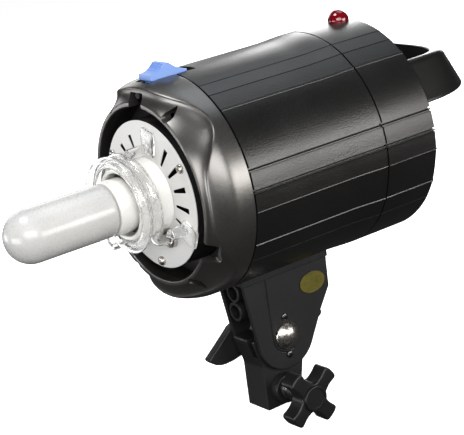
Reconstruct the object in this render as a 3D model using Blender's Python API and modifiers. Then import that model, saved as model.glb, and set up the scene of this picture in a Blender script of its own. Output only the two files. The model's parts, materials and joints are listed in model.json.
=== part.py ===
"""Monolight strobe: a round flash head on a tilting stand bracket.

World frame, metres: +Z is up, the head shines along -Y, and the star knob is on the +X side. The origin is
the centre of the stand socket's mouth. The head's own axis is the line x = 0, z = AXIS_Z along Y.
"""

import math

import bmesh
import bpy
from mathutils import Matrix, Vector

MM = 0.001
GAP = 0.3 * MM  # between parts that touch

# Head, along its axis
HEAD_R = 68 * MM
WALL = 3 * MM
AXIS_Z = 158 * MM
SEAM_Y = -40 * MM  # bezel to body shell
BEZEL_DEPTH = 27 * MM
MID_SEAM_Y = 61 * MM  # body shell to rear cap
REAR_Y = 100.7 * MM
INNER_R = HEAD_R - WALL

# Bayonet
MOUTH_R = 53.5 * MM
SLOT_ANGLES = (90, -30, 210)
SLOT_W = 13 * MM
SLOT_R = 62 * MM
BEZEL_SCREW_ANGLES = (60, -60, 120, -120)
BEZEL_SCREW_R = 58 * MM
WELL_FLOOR = 2.4 * MM

# Reflector plate and light sources
PLATE_R = 45.4 * MM
PLATE_T = 1.5 * MM
PLATE_DEPTH = 25.7 * MM
SHROUD_R = 22 * MM
LAMP_R = 16 * MM
LAMP_TIP = 124.7 * MM
TUBE_R = 3.7 * MM
COIL_R = 26.6 * MM
LEG_X = 14.9 * MM
LEG_Z = -24.5 * MM

# Tilt bracket
PIVOT_Y = 6.5 * MM
PIVOT_Z = 45.8 * MM
BOLT_R = 4 * MM
PLATE_INNER_X = 10.8 * MM
PLATE_OUTER_X = 14 * MM
YOKE_ARC_R = 22 * MM
UMBRELLA_Z = (80.1 * MM, 67.6 * MM)
UMBRELLA_R = 6.3 * MM
UMBRELLA_BORE_R = 4.5 * MM
UMBRELLA_FRONT_Y = -20 * MM
UMBRELLA_REAR_Y = 40 * MM

# Stand adapter and knob
ADAPTER_X = 10.4 * MM
SOCKET_R = 8.1 * MM
SOCKET_DEPTH = 34 * MM
KNUCKLE_R = 13.5 * MM
KNUCKLE_X = 4 * MM
DISC_R = 11 * MM
KNOB_Z = 12.5 * MM
BOSS_R = 9.5 * MM
BOSS_X = 17 * MM
STAR_ARMS = 4
STAR_PHASE = math.radians(38)

# Rear panel, positions (x, height over the head's axis)
PANEL_Y = 98 * MM
INLET_AT = (-36 * MM, -26 * MM)
FUSE_AT = (30 * MM, -36 * MM)
ROCKER_AT = (38 * MM, -12 * MM)
DIAL_AT = (0, -3 * MM)
TEST_AT = (22 * MM, 4 * MM)
LAMP_BUTTON_AT = (-22 * MM, 4 * MM)
LIGHT_AT = (40 * MM, 8 * MM)
SYNC_AT = (-40 * MM, 4 * MM)
FAN_Z = -38 * MM
FAN_R = 18.5 * MM
ROCKER_PIVOT_Y = 93 * MM
ROCKER_REST = math.radians(-8)

# Axis directions of turned parts, as the rotation that brings local +Z there
FORWARD = (math.radians(90), 0, 0)
BACKWARD = (math.radians(-90), 0, 0)
RIGHT = (0, math.radians(90), 0)
LEFT = (0, math.radians(-90), 0)
UP = (0, 0, 0)
SIDE_VIEW = (math.radians(90), 0, math.radians(90))  # outline (y, z), extruded along x


# ---------------------------------------------------------------- helpers


def clear_scene():
    for obj in list(bpy.data.objects):
        bpy.data.objects.remove(obj, do_unlink=True)


def make_collection(name):
    collection = bpy.data.collections.new(name)
    bpy.context.scene.collection.children.link(collection)
    return collection


def material(name, rgb, roughness, metallic=0.0, alpha=1.0):
    mat = bpy.data.materials.new(name)
    mat.use_nodes = True
    shader = mat.node_tree.nodes["Principled BSDF"]
    shader.inputs["Base Color"].default_value = (*rgb, 1.0)
    shader.inputs["Roughness"].default_value = roughness
    shader.inputs["Metallic"].default_value = metallic
    shader.inputs["Alpha"].default_value = alpha
    return mat


def add_object(name, mesh, mat, at=(0, 0, 0), turn=UP):
    obj = bpy.data.objects.new(name, mesh)
    obj.location = at
    obj.rotation_euler = turn
    PARTS.objects.link(obj)
    obj.data.materials.append(mat)
    return obj


def smooth(obj, degrees=30):
    obj.data.shade_smooth()
    obj.data.set_sharp_from_angle(angle=math.radians(degrees))
    return obj


def box(name, mat, size, at, bevel=0.0):
    """A box of this size, centred at `at`, with rounded edges if bevel is given."""
    bm = bmesh.new()
    bmesh.ops.create_cube(bm, size=1.0, matrix=Matrix.Diagonal((*size, 1.0)))
    mesh = bpy.data.meshes.new(name)
    bm.to_mesh(mesh)
    bm.free()
    obj = add_object(name, mesh, mat, at)
    if bevel:
        add_bevel(obj, bevel)
    return obj


def add_bevel(obj, width, segments=2):
    bevel = obj.modifiers.new("edges", "BEVEL")
    bevel.width = width
    bevel.segments = segments
    bevel.limit_method = "ANGLE"
    bevel.angle_limit = math.radians(40)


def cylinder(name, mat, radius, length, at, turn, sides=24):
    """A cylinder centred at `at`, its axis along the turned +Z."""
    bm = bmesh.new()
    bmesh.ops.create_cone(bm, cap_ends=True, segments=sides, radius1=radius, radius2=radius, depth=length)
    mesh = bpy.data.meshes.new(name)
    bm.to_mesh(mesh)
    bm.free()
    return smooth(add_object(name, mesh, mat, at, turn))


def turned(name, mat, profile, at, turn, steps=32):
    """A solid of revolution from (radius, distance along the axis) points, in order round the section."""
    area = sum(
        r0 * z1 - r1 * z0
        for (r0, z0), (r1, z1) in zip(profile, profile[1:] + profile[:1])
    )
    points = profile if area < 0 else profile[::-1]
    closed = min(r for r, _ in profile) > 0
    if not closed:
        on_axis = [i for i, (r, _) in enumerate(points) if r == 0]
        first = next(i for i in on_axis if points[(i + 1) % len(points)][0] > 0)
        points = points[first:] + points[:first]
    mesh = bpy.data.meshes.new(name)
    edges = [(i, i + 1) for i in range(len(points) - 1)]
    if closed:
        edges.append((len(points) - 1, 0))
    mesh.from_pydata([(r, 0, z) for r, z in points], edges, [])
    obj = add_object(name, mesh, mat, at, turn)
    screw = obj.modifiers.new("turn", "SCREW")
    screw.steps = steps
    screw.render_steps = steps
    screw.use_merge_vertices = True
    screw.merge_threshold = 0.00002
    screw.use_smooth_shade = True
    return obj


def plate(name, mat, outline, thickness, at, turn):
    """A flat outline extruded to this thickness, half to each side of its plane, as a mesh."""
    curve = bpy.data.curves.new(name, "CURVE")
    curve.dimensions = "2D"
    curve.fill_mode = "BOTH"
    curve.extrude = thickness / 2
    spline = curve.splines.new("POLY")
    spline.points.add(len(outline) - 1)
    for point, (u, v) in zip(spline.points, outline):
        point.co = (u, v, 0, 1)
    spline.use_cyclic_u = True
    return mesh_from_curve(name, curve, mat, at, turn)


def mesh_from_curve(name, curve, mat, at=(0, 0, 0), turn=UP):
    """A curve turned into a mesh with welded caps, so that it takes Boolean and Bevel."""
    guide = bpy.data.objects.new(name + "_curve", curve)
    PARTS.objects.link(guide)
    depsgraph = bpy.context.evaluated_depsgraph_get()
    mesh = bpy.data.meshes.new_from_object(guide.evaluated_get(depsgraph))
    bpy.data.objects.remove(guide, do_unlink=True)
    bm = bmesh.new()
    bm.from_mesh(mesh)
    bmesh.ops.remove_doubles(bm, verts=bm.verts, dist=0.000001)
    bmesh.ops.recalc_face_normals(bm, faces=bm.faces)
    bm.to_mesh(mesh)
    bm.free()
    mesh.name = name
    mesh.materials.clear()
    return smooth(add_object(name, mesh, mat, at, turn))


def tube(name, mat, points, radius, resolution=2):
    """A round bar along these points."""
    curve = bpy.data.curves.new(name, "CURVE")
    curve.dimensions = "3D"
    curve.bevel_depth = radius
    curve.bevel_resolution = resolution
    curve.use_fill_caps = True
    spline = curve.splines.new("POLY")
    spline.points.add(len(points) - 1)
    for point, co in zip(spline.points, points):
        point.co = (*co, 1)
    return mesh_from_curve(name, curve, mat)


def loft(name, mat, sections, closed):
    """Skins loops of equal length one after the other, into a ring or a bar with end caps."""
    bm = bmesh.new()
    loops = [[bm.verts.new(co) for co in section] for section in sections]
    pairs = list(zip(loops, loops[1:]))
    if closed:
        pairs.append((loops[-1], loops[0]))
    for one, two in pairs:
        for i in range(len(one)):
            j = (i + 1) % len(one)
            bm.faces.new((one[i], one[j], two[j], two[i]))
    if not closed:
        bm.faces.new(loops[0])
        bm.faces.new(loops[-1])
    bmesh.ops.recalc_face_normals(bm, faces=bm.faces)
    mesh = bpy.data.meshes.new(name)
    bm.to_mesh(mesh)
    bm.free()
    return smooth(add_object(name, mesh, mat))


def combine(obj, other, operation):
    """Cuts `other` out of obj, or joins it on, and keeps it as a hidden guide."""
    PARTS.objects.unlink(other)
    GUIDES.objects.link(other)
    other.hide_render = True
    other.display_type = "WIRE"
    other.name = "guide_" + other.name
    change = obj.modifiers.new(operation.lower(), "BOOLEAN")
    change.operation = operation
    change.object = other


def cut(obj, *others):
    for other in others:
        combine(obj, other, "DIFFERENCE")


def join(obj, *others):
    for other in others:
        combine(obj, other, "UNION")


def hang(parent_name, at, *objects):
    """Parents moving parts to an empty on their joint's axis."""
    empty = bpy.data.objects.new(parent_name, None)
    empty.location = at
    PARTS.objects.link(empty)
    for obj in objects:
        obj.parent = empty
        obj.matrix_parent_inverse = Matrix.Translation(-Vector(at))


def ahead(distance):
    """World y of a point this far in front of the bezel's seam."""
    return SEAM_Y - distance


def polar(radius, degrees, y):
    """A point round the head's axis; 90 degrees is up, 0 is +X."""
    angle = math.radians(degrees)
    return (radius * math.cos(angle), y, AXIS_Z + radius * math.sin(angle))


def circle(radius, centre, sides, start=0.0, sweep=2 * math.pi):
    """Points round a circle, the end left out when it is a full turn."""
    count = sides if sweep >= 2 * math.pi else sides + 1
    return [
        (
            centre[0] + radius * math.cos(start + sweep * i / sides),
            centre[1] + radius * math.sin(start + sweep * i / sides),
        )
        for i in range(count)
    ]


# ---------------------------------------------------------------- front of the head


def bezel_section(degrees):
    """One radial section of the bezel: straight at top and bottom, scooped in between."""
    angle = math.radians(degrees)
    fold = math.degrees(math.atan2(abs(math.sin(angle)), abs(math.cos(angle))))
    scoop = math.exp(-(((fold - 45) / 16) ** 2))
    ridge = (24.8 - 15.3 * scoop) * MM
    taper = 14.3 + 26 * math.cos(angle) ** 2  # per metre: how fast the outside closes in

    def outer(depth):
        return HEAD_R - taper * max(0.0, depth - 10 * MM) ** 2

    rim_r = 56.3 * MM
    hollow_r = (outer(ridge) + rim_r) / 2
    hollow_depth = (ridge + BEZEL_DEPTH) / 2 - 1.5 * MM * scoop
    section = [(outer(ridge * t), max(ridge * t, GAP)) for t in (0.0, 0.45, 0.75, 1.0)]
    section += [
        (hollow_r, hollow_depth),
        (rim_r, BEZEL_DEPTH),
        (MOUTH_R, BEZEL_DEPTH),
        (MOUTH_R, 20 * MM),
        (57 * MM, 20 * MM),
        (57 * MM, 3 * MM),
        (50 * MM, 3 * MM),
        (50 * MM, GAP),
    ]
    return [polar(r, degrees, ahead(depth)) for r, depth in section]


def front_bezel(mat):
    bezel = loft("front_bezel", mat, [bezel_section(a) for a in range(0, 360, 6)], closed=True)
    for angle in SLOT_ANGLES:
        depth = 10 * MM
        centre_r = (MOUTH_R - 4 * MM + SLOT_R) / 2
        slot = box("slot", mat, (SLOT_R - MOUTH_R + 4 * MM, depth, SLOT_W), (0, 0, 0))
        slot.location = polar(centre_r, angle, ahead(BEZEL_DEPTH + MM - depth / 2))
        slot.rotation_euler = (0, -math.radians(angle), 0)
        cut(bezel, slot)
    for angle in BEZEL_SCREW_ANGLES:
        well = cylinder("well", mat, 3.1 * MM, 30 * MM, (0, 0, 0), FORWARD, 16)
        well.location = polar(BEZEL_SCREW_R, angle, ahead(WELL_FLOOR + 15 * MM))
        shank = cylinder("shank_hole", mat, 1.8 * MM, 10 * MM, (0, 0, 0), FORWARD, 12)
        shank.location = polar(BEZEL_SCREW_R, angle, ahead(2 * MM))
        cut(bezel, well, shank)
    cut(bezel, release_channel(mat), stem_slot(mat), pin_bore(mat))
    return bezel


def release_channel(mat):
    """The flat-bottomed groove that the release slides in, across the bezel and the body shell."""
    front, rear = -59.5 * MM, -25.5 * MM
    return box("channel", mat, (14.6 * MM, rear - front, 8 * MM), (0, (front + rear) / 2, AXIS_Z + 69.5 * MM))


def stem_slot(mat):
    front, rear = -55.9 * MM, -42 * MM
    centre = (0, (front + rear) / 2, AXIS_Z + 62.2 * MM)
    return box("stem_slot", mat, (5.8 * MM, rear - front, 11 * MM), centre)


def pin_bore(mat):
    return cylinder("pin_bore", mat, 2.4 * MM, 5 * MM, (0, -57.5 * MM, AXIS_Z + 60 * MM), FORWARD, 16)


def bayonet_release(blue):
    """The slider on top: a base plate with a ribbed finger hump, and the stem under it."""
    top = AXIS_Z + 68.4 * MM
    bottom = AXIS_Z + 65.8 * MM
    outline = [
        (-56.5 * MM, bottom),
        (-32 * MM, bottom),
        (-32 * MM, top + 1.6 * MM),
        (-35 * MM, top + 1.8 * MM),
        (-38.5 * MM, top + 2.2 * MM),
        (-42 * MM, top + 5.6 * MM),
        (-44.6 * MM, top + 8 * MM),
        (-47 * MM, top + 7.6 * MM),
        (-49.5 * MM, top + 3.2 * MM),
        (-52 * MM, top + 0.8 * MM),
        (-56.5 * MM, top),
    ]
    slider = plate("bayonet_release", blue, outline, 13 * MM, (0, 0, 0), SIDE_VIEW)
    stem = box("stem", blue, (5 * MM, 4.5 * MM, 9.5 * MM), (0, -53.25 * MM, AXIS_Z + 62.05 * MM))
    join(slider, stem)
    return slider


def latch_pin(steel):
    front, rear = -64 * MM, -55.5 * MM - GAP
    return cylinder(
        "latch_pin", steel, 2 * MM, rear - front, (0, (front + rear) / 2, AXIS_Z + 60 * MM), FORWARD, 16
    )


def release_spring(steel):
    start, end, turns, per_turn = -50.6 * MM, -42.4 * MM, 5, 10
    points = []
    for i in range(turns * per_turn + 1):
        t = i / (turns * per_turn)
        angle = 2 * math.pi * turns * t
        y = start + (end - start) * t
        points.append((1.7 * MM * math.cos(angle), y, AXIS_Z + 60 * MM + 1.7 * MM * math.sin(angle)))
    return tube("release_spring", steel, points, 0.25 * MM, 0)


def bayonet_ring(steel):
    profile = [(54.5 * MM, 3.3 * MM), (54.5 * MM, 6 * MM), (46 * MM, 6 * MM), (46 * MM, 3.3 * MM)]
    return turned("bayonet_ring", steel, profile, (0, SEAM_Y, AXIS_Z), FORWARD, 48)


def plate_drum(black):
    profile = [
        (45.2 * MM, -2.2 * MM),
        (45.2 * MM, 23.9 * MM),
        (43.2 * MM, 23.9 * MM),
        (43.2 * MM, -2.2 * MM),
    ]
    return turned("plate_drum", black, profile, (0, SEAM_Y, AXIS_Z), FORWARD, 48)


def reflector_plate(white):
    front = PLATE_DEPTH
    back = PLATE_DEPTH - PLATE_T
    profile = [(PLATE_R, back), (PLATE_R, front), (19.2 * MM, front), (19.2 * MM, back)]
    disc = turned("reflector_plate", white, profile, (0, SEAM_Y, AXIS_Z), FORWARD, 50)
    for angle in (110, 70, 50, 30, 10, -10, -30, 130, 150, 170, 190, 210, -90):
        vent = box("vent", white, (10.5 * MM, 6 * MM, 2.2 * MM), (0, 0, 0))
        vent.location = polar(31 * MM, angle, ahead(back))
        vent.rotation_euler = (0, -math.radians(angle), 0)
        cut(disc, vent)
    for side in (-1, 1):
        hole = cylinder("leg_hole", white, 4.2 * MM, 6 * MM, (0, 0, 0), FORWARD, 16)
        hole.location = (side * LEG_X, ahead(back), AXIS_Z + LEG_Z)
        cut(disc, hole)
    for angle in (-90, 30, 150):
        hole = cylinder("screw_hole", white, 1.6 * MM, 6 * MM, (0, 0, 0), FORWARD, 10)
        hole.location = polar(41.4 * MM, angle, ahead(back))
        cut(disc, hole)
    return disc


def pan_screw(name, mat, head_r, head_h, shank_r, shank_l, at, turn):
    """A screw with its head's underside at `at` and its head towards the turned +Z."""
    profile = [
        (0, head_h),
        (head_r * 0.6, head_h * 0.9),
        (head_r, head_h * 0.45),
        (head_r, 0),
        (shank_r, 0),
        (shank_r, -shank_l),
        (0, -shank_l),
    ]
    return turned(name, mat, profile, at, turn, 12)


def plate_screws(steel):
    for i, angle in enumerate((-90, 30, 150)):
        at = polar(41.4 * MM, angle, ahead(PLATE_DEPTH + GAP))
        pan_screw(f"plate_screw_{i + 1}", steel, 2.9 * MM, 1.8 * MM, 1.2 * MM, 6 * MM, at, FORWARD)


def bezel_screws(steel):
    for i, angle in enumerate(BEZEL_SCREW_ANGLES):
        at = polar(BEZEL_SCREW_R, angle, ahead(WELL_FLOOR + GAP))
        pan_screw(f"bezel_screw_{i + 1}", steel, 2.6 * MM, 2 * MM, 1.4 * MM, 9 * MM, at, FORWARD)


def socket_shroud(white):
    profile = [
        (22.8 * MM, PLATE_DEPTH + GAP),
        (22.4 * MM, 31 * MM),
        (SHROUD_R, 40 * MM),
        (21.6 * MM, 47 * MM),
        (20.6 * MM, 48 * MM),
        (19 * MM, 47.6 * MM),
        (19 * MM, PLATE_DEPTH + GAP),
    ]
    return turned("socket_shroud", white, profile, (0, SEAM_Y, AXIS_Z), FORWARD, 32)


def lamp_socket(porcelain):
    profile = [
        (0, -2.2 * MM),
        (18.5 * MM, -2.2 * MM),
        (18.5 * MM, 42 * MM),
        (13.8 * MM, 42 * MM),
        (13.8 * MM, 12 * MM),
        (0, 12 * MM),
    ]
    return turned("lamp_socket", porcelain, profile, (0, SEAM_Y, AXIS_Z), FORWARD, 32)


def lamp_base(metal):
    profile = [
        (0, 13 * MM),
        (5 * MM, 13 * MM),
        (7 * MM, 15.5 * MM),
        (13.2 * MM, 18 * MM),
        (13.2 * MM, 43.5 * MM),
        (16.6 * MM, 45.5 * MM),
        (16.6 * MM, 57.7 * MM),
        (0, 57.7 * MM),
    ]
    return turned("lamp_base", metal, profile, (0, SEAM_Y, AXIS_Z), FORWARD, 24)


def modelling_lamp(frosted):
    dome = [
        (LAMP_R * math.cos(a), LAMP_TIP - LAMP_R + LAMP_R * math.sin(a))
        for a in (math.pi / 2 * i / 6 for i in range(6))
    ]
    profile = [(0, 58 * MM), (14.6 * MM, 58 * MM), (LAMP_R, 60.5 * MM)] + dome + [(0, LAMP_TIP)]
    return turned("modelling_lamp", frosted, profile, (0, SEAM_Y, AXIS_Z), FORWARD, 24)


def flash_tube(glass):
    """Nearly two turns round the shroud, with both ends brought straight back into the plate."""
    front_leg, rear_leg, lead_out = -121, -59, 9 * MM
    turn_depth, pitch = 53.5 * MM, 8.9 * MM
    leg_r = math.hypot(LEG_X, LEG_Z)
    end_depth = PLATE_DEPTH + 2.5 * MM
    bend_r = COIL_R + lead_out
    points = [
        polar(leg_r, front_leg, ahead(end_depth)),
        polar(leg_r + MM, front_leg, ahead(31 * MM)),
        polar(bend_r, front_leg, ahead(40 * MM)),
        polar(bend_r, front_leg, ahead(49 * MM)),
        polar(COIL_R + 5 * MM, front_leg, ahead(53 * MM)),
    ]
    sweep = -(360 + (front_leg + 360 - rear_leg))
    steps = 34
    for i in range(steps + 1):
        t = i / steps
        angle = front_leg - 14 + (sweep + 28) * t
        depth = turn_depth - pitch * abs(sweep) / 360 * t
        points.append(polar(COIL_R, angle, ahead(depth)))
    last = turn_depth - pitch * abs(sweep) / 360
    points.append(polar(COIL_R + MM, rear_leg + 4, ahead(last - 2.5 * MM)))
    points.append(polar(leg_r, rear_leg, ahead(31 * MM)))
    points.append(polar(leg_r, rear_leg, ahead(end_depth)))
    return tube("flash_tube", glass, points, TUBE_R, 2)


def tube_ferrules(metal):
    for i, side in enumerate((-1, 1)):
        low = PLATE_DEPTH + GAP
        profile = [(5.6 * MM, low), (5.6 * MM, low + 3 * MM), (4.3 * MM, low + 3 * MM), (4.3 * MM, low)]
        turned(f"tube_ferrule_{i + 1}", metal, profile, (side * LEG_X, SEAM_Y, AXIS_Z + LEG_Z), FORWARD, 16)


def tube_clips(clear):
    """Clear feet on the plate, each with a post that reaches out to the flash tube."""
    for i, (angle, radius) in enumerate(((78, 30.5 * MM), (-28, 36 * MM))):
        low = PLATE_DEPTH + GAP
        foot = box(f"tube_clip_{i + 1}", clear, (12 * MM, 1.4 * MM, 13 * MM), (0, 0, 0), 0.4 * MM)
        foot.location = polar(radius + 3 * MM, angle, ahead(low + 0.7 * MM))
        foot.rotation_euler = (0, -math.radians(angle), 0)
        post = cylinder("post", clear, 3.4 * MM, 6.6 * MM, (0, 0, 0), FORWARD, 16)
        post.location = polar(radius, angle, ahead(low + 4 * MM))
        join(foot, post)


# ---------------------------------------------------------------- body


def body_shell(black):
    profile = [
        (HEAD_R, SEAM_Y + GAP),
        (HEAD_R, MID_SEAM_Y - GAP),
        (INNER_R, MID_SEAM_Y - GAP),
        (INNER_R, SEAM_Y + GAP),
    ]
    shell = turned("body_shell", black, profile, (0, 0, AXIS_Z), BACKWARD, 48)
    cut(shell, release_channel(black))
    return shell


def rear_cap(black):
    profile = [
        (HEAD_R, MID_SEAM_Y),
        (HEAD_R, REAR_Y - MM),
        (HEAD_R - MM, REAR_Y),
        (INNER_R, REAR_Y),
        (INNER_R, 95.7 * MM),
        (62.5 * MM, 95.7 * MM),
        (62.5 * MM, 94 * MM),
        (INNER_R, 94 * MM),
        (INNER_R, MID_SEAM_Y),
    ]
    return turned("rear_cap", black, profile, (0, 0, AXIS_Z), BACKWARD, 48)


def rear_panel(black):
    profile = [(0, PANEL_Y - 2 * MM), (64.7 * MM, PANEL_Y - 2 * MM), (64.7 * MM, PANEL_Y), (0, PANEL_Y)]
    panel = turned("rear_panel", black, profile, (0, 0, AXIS_Z), BACKWARD, 44)
    holes = [
        box("inlet_hole", black, (26.6 * MM, 6 * MM, 20.1 * MM), panel_point(INLET_AT, PANEL_Y)),
        box("rocker_hole", black, (13 * MM, 6 * MM, 17.4 * MM), panel_point(ROCKER_AT, PANEL_Y)),
    ]
    round_holes = (
        (FUSE_AT, 6),
        (DIAL_AT, 3.4),
        (TEST_AT, 4.4),
        (LAMP_BUTTON_AT, 4.4),
        (LIGHT_AT, 2.8),
        (SYNC_AT, 4.4),
    )
    for at, radius in round_holes:
        centre = panel_point(at, PANEL_Y)
        holes.append(cylinder("round_hole", black, radius * MM, 6 * MM, centre, FORWARD, 20))
    for row in range(-2, 3):
        at = panel_point((0, FAN_Z + row * 6 * MM), PANEL_Y)
        holes.append(box("vent", black, (30 * MM, 6 * MM, 2.6 * MM), at))
    cut(panel, *holes)
    return panel


def panel_point(at, y):
    """World point on the rear panel from (x, height over the axis)."""
    return (at[0], y, AXIS_Z + at[1])


def superellipse(half_width, reach, power, t):
    """A point of a flat-sided bow behind the rear cap, t from 0 to 1 across it."""
    angle = math.pi * t
    c, s = math.cos(angle), math.sin(angle)
    x = half_width * math.copysign(abs(c) ** (2 / power), c)
    return x, REAR_Y + GAP + reach * abs(s) ** (2 / power)


def carry_handle(black):
    """A bow whose wall leans out downwards; its roots stand on the rear cap's edge."""
    low_z, high_z = AXIS_Z + 19 * MM, AXIS_Z + 45 * MM
    steps = 24
    sections = []
    for i in range(steps + 1):
        t = i / steps
        outer_low = superellipse(65.3 * MM, 62 * MM, 2.3, t)
        outer_high = superellipse(51.3 * MM, 42 * MM, 4, t)
        inner_high = superellipse(47.5 * MM, 32 * MM, 4, t)
        inner_low = superellipse(59.5 * MM, 50 * MM, 2.6, t)
        sections.append(
            [(*outer_low, low_z), (*outer_high, high_z), (*inner_high, high_z), (*inner_low, low_z)]
        )
    return loft("carry_handle", black, sections, closed=False)


def slave_sensor_dome(red):
    """A ball-topped window on the rear cap."""
    radius, centre = 6.7 * MM, AXIS_Z + 69.8 * MM
    base = AXIS_Z + HEAD_R + GAP
    arc = [
        (radius * math.cos(a), centre + radius * math.sin(a))
        for a in (math.radians(-12 + 102 * i / 8) for i in range(8))
    ]
    profile = [(0, base), (6.3 * MM, base)] + arc + [(0, centre + radius)]
    return turned("slave_sensor_dome", red, profile, (0, 92 * MM, 0), UP, 20)


# ---------------------------------------------------------------- inside


def front_bulkhead(steel):
    profile = [(64.7 * MM, -37.5 * MM), (64.7 * MM, -36 * MM), (12 * MM, -36 * MM), (12 * MM, -37.5 * MM)]
    disc = turned("front_bulkhead", steel, profile, (0, 0, AXIS_Z), BACKWARD, 32)
    for angle in BEZEL_SCREW_ANGLES:
        hole = cylinder("shank_hole", steel, 1.8 * MM, 6 * MM, (0, 0, 0), FORWARD, 10)
        hole.location = polar(BEZEL_SCREW_R, angle, -37 * MM)
        cut(disc, hole)
    return disc


def chassis_tray(steel):
    return box("chassis_tray", steel, (90 * MM, 110 * MM, 1.5 * MM), (0, 19.6 * MM, AXIS_Z - 21.2 * MM))


def main_capacitors(sleeve):
    for i, side in enumerate((-1, 1)):
        at = (side * 20 * MM, 0, AXIS_Z - 1.9 * MM)
        profile = [
            (0, -30 * MM),
            (17 * MM, -30 * MM),
            (18 * MM, -29 * MM),
            (18 * MM, 31 * MM),
            (16 * MM, 32 * MM),
            (0, 32 * MM),
        ]
        turned(f"main_capacitor_{i + 1}", sleeve, profile, at, BACKWARD, 24)


def power_board(green):
    return box("power_board", green, (84 * MM, 104 * MM, 1.6 * MM), (0, 18 * MM, AXIS_Z + 18.3 * MM))


def choke(varnish):
    return box("choke", varnish, (40 * MM, 34 * MM, 26 * MM), (0, 50 * MM, AXIS_Z + 32.6 * MM), MM)


def trigger_coil(yellow):
    centre = (26 * MM, -14 * MM, AXIS_Z + 26.5 * MM)
    return cylinder("trigger_coil", yellow, 7 * MM, 18 * MM, centre, FORWARD, 20)


def discharge_capacitor(sleeve):
    centre = (-6 * MM, -8 * MM, AXIS_Z + 30.5 * MM)
    return cylinder("discharge_capacitor", sleeve, 11 * MM, 34 * MM, centre, FORWARD, 24)


def fan_frame(black):
    frame = box("fan_frame", black, (40 * MM, 10 * MM, 40 * MM), panel_point((0, FAN_Z), 88 * MM), 2 * MM)
    bore = cylinder("bore", black, FAN_R, 14 * MM, panel_point((0, FAN_Z), 88 * MM), FORWARD, 32)
    spider = box("spider", black, (38 * MM, 1.5 * MM, 4 * MM), panel_point((0, FAN_Z), 84 * MM))
    cut(frame, bore)
    join(frame, spider)
    return frame


def fan_rotor(black):
    """A hub with seven pitched blades."""
    hub = cylinder("fan_rotor", black, 8 * MM, 6.4 * MM, panel_point((0, FAN_Z), 89 * MM), FORWARD, 20)
    for i in range(7):
        angle = 2 * math.pi * i / 7
        blade = box("blade", black, (10.4 * MM, 6 * MM, MM), (0, 0, 0))
        spin = Matrix.Rotation(-angle, 4, "Y")
        reach = Matrix.Translation((12.3 * MM, 0, 0))
        pitch = Matrix.Rotation(math.radians(38), 4, "X")
        blade.matrix_world = Matrix.Translation(hub.location) @ spin @ reach @ pitch
        join(hub, blade)
    return hub


# ---------------------------------------------------------------- rear controls


def mains_inlet(black):
    """A recessed appliance inlet with its three flat pins."""
    body = box("mains_inlet", black, (26 * MM, 21.5 * MM, 19.5 * MM), panel_point(INLET_AT, 88.45 * MM))
    rim = box("rim", black, (30 * MM, 1.6 * MM, 24 * MM), panel_point(INLET_AT, 99.1 * MM))
    pocket = box("pocket", black, (21.6 * MM, 20 * MM, 15 * MM), panel_point(INLET_AT, 94 * MM))
    join(body, rim)
    cut(body, pocket)
    for dx, dz in ((-6, -2), (6, -2), (0, 2.5)):
        pin = box("pin", black, (2 * MM, 12 * MM, 4 * MM), panel_point(INLET_AT, 89.5 * MM))
        pin.location += Vector((dx * MM, 0, dz * MM))
        join(body, pin)
    return body


def fuse_cap(black):
    profile = [
        (0, 78 * MM),
        (5.7 * MM, 78 * MM),
        (5.7 * MM, PANEL_Y + GAP),
        (7.4 * MM, PANEL_Y + GAP),
        (7 * MM, 104 * MM),
        (0, 104 * MM),
    ]
    return turned("fuse_cap", black, profile, panel_point(FUSE_AT, 0), BACKWARD, 20)


def sync_jack(metal):
    profile = [
        (4.1 * MM, 84 * MM),
        (4.1 * MM, PANEL_Y + GAP),
        (5.6 * MM, PANEL_Y + GAP),
        (5.6 * MM, 100 * MM),
        (2 * MM, 100 * MM),
        (2 * MM, 84 * MM),
    ]
    return turned("sync_jack", metal, profile, panel_point(SYNC_AT, 0), BACKWARD, 20)


def power_rocker(black):
    """A rocker whose back is round its pivot; at rest its upper half is pressed."""
    front = ((8.9, 50), (4.3, 0), (8.9, -50), (8.9, -65), (8.9, -80))
    back = ((6, -118), (6, 118), (8.9, 80), (8.9, 65))
    outline = []
    for radius, degrees in front + back:
        angle = math.radians(degrees) - ROCKER_REST
        outline.append((radius * MM * math.cos(angle), radius * MM * math.sin(angle)))
    at = panel_point(ROCKER_AT, ROCKER_PIVOT_Y)
    return plate("power_rocker", black, outline, 12.4 * MM, at, SIDE_VIEW)


def output_dial(black):
    profile = [
        (0, 88 * MM),
        (3 * MM, 88 * MM),
        (3 * MM, PANEL_Y + 0.4 * MM),
        (11.5 * MM, PANEL_Y + 0.4 * MM),
        (10.2 * MM, 109 * MM),
        (9.2 * MM, 110 * MM),
        (0, 110 * MM),
    ]
    return turned("output_dial", black, profile, panel_point(DIAL_AT, 0), BACKWARD, 24)


def push_button(name, mat, at):
    """A button with a retaining collar behind the panel."""
    profile = [
        (0, 90 * MM),
        (2.4 * MM, 90 * MM),
        (2.4 * MM, 93 * MM),
        (5.2 * MM, 93 * MM),
        (5.2 * MM, 95.6 * MM),
        (4 * MM, 95.6 * MM),
        (4 * MM, 101 * MM),
        (3.2 * MM, 101.6 * MM),
        (0, 101.6 * MM),
    ]
    return turned(name, mat, profile, panel_point(at, 0), BACKWARD, 20)


def ready_light(lens):
    profile = [
        (0, 90 * MM),
        (2.5 * MM, 90 * MM),
        (2.5 * MM, 98.6 * MM),
        (1.6 * MM, 100.2 * MM),
        (0, 100.8 * MM),
    ]
    return turned("ready_light", lens, profile, panel_point(LIGHT_AT, 0), BACKWARD, 16)


# ---------------------------------------------------------------- tilt bracket


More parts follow.
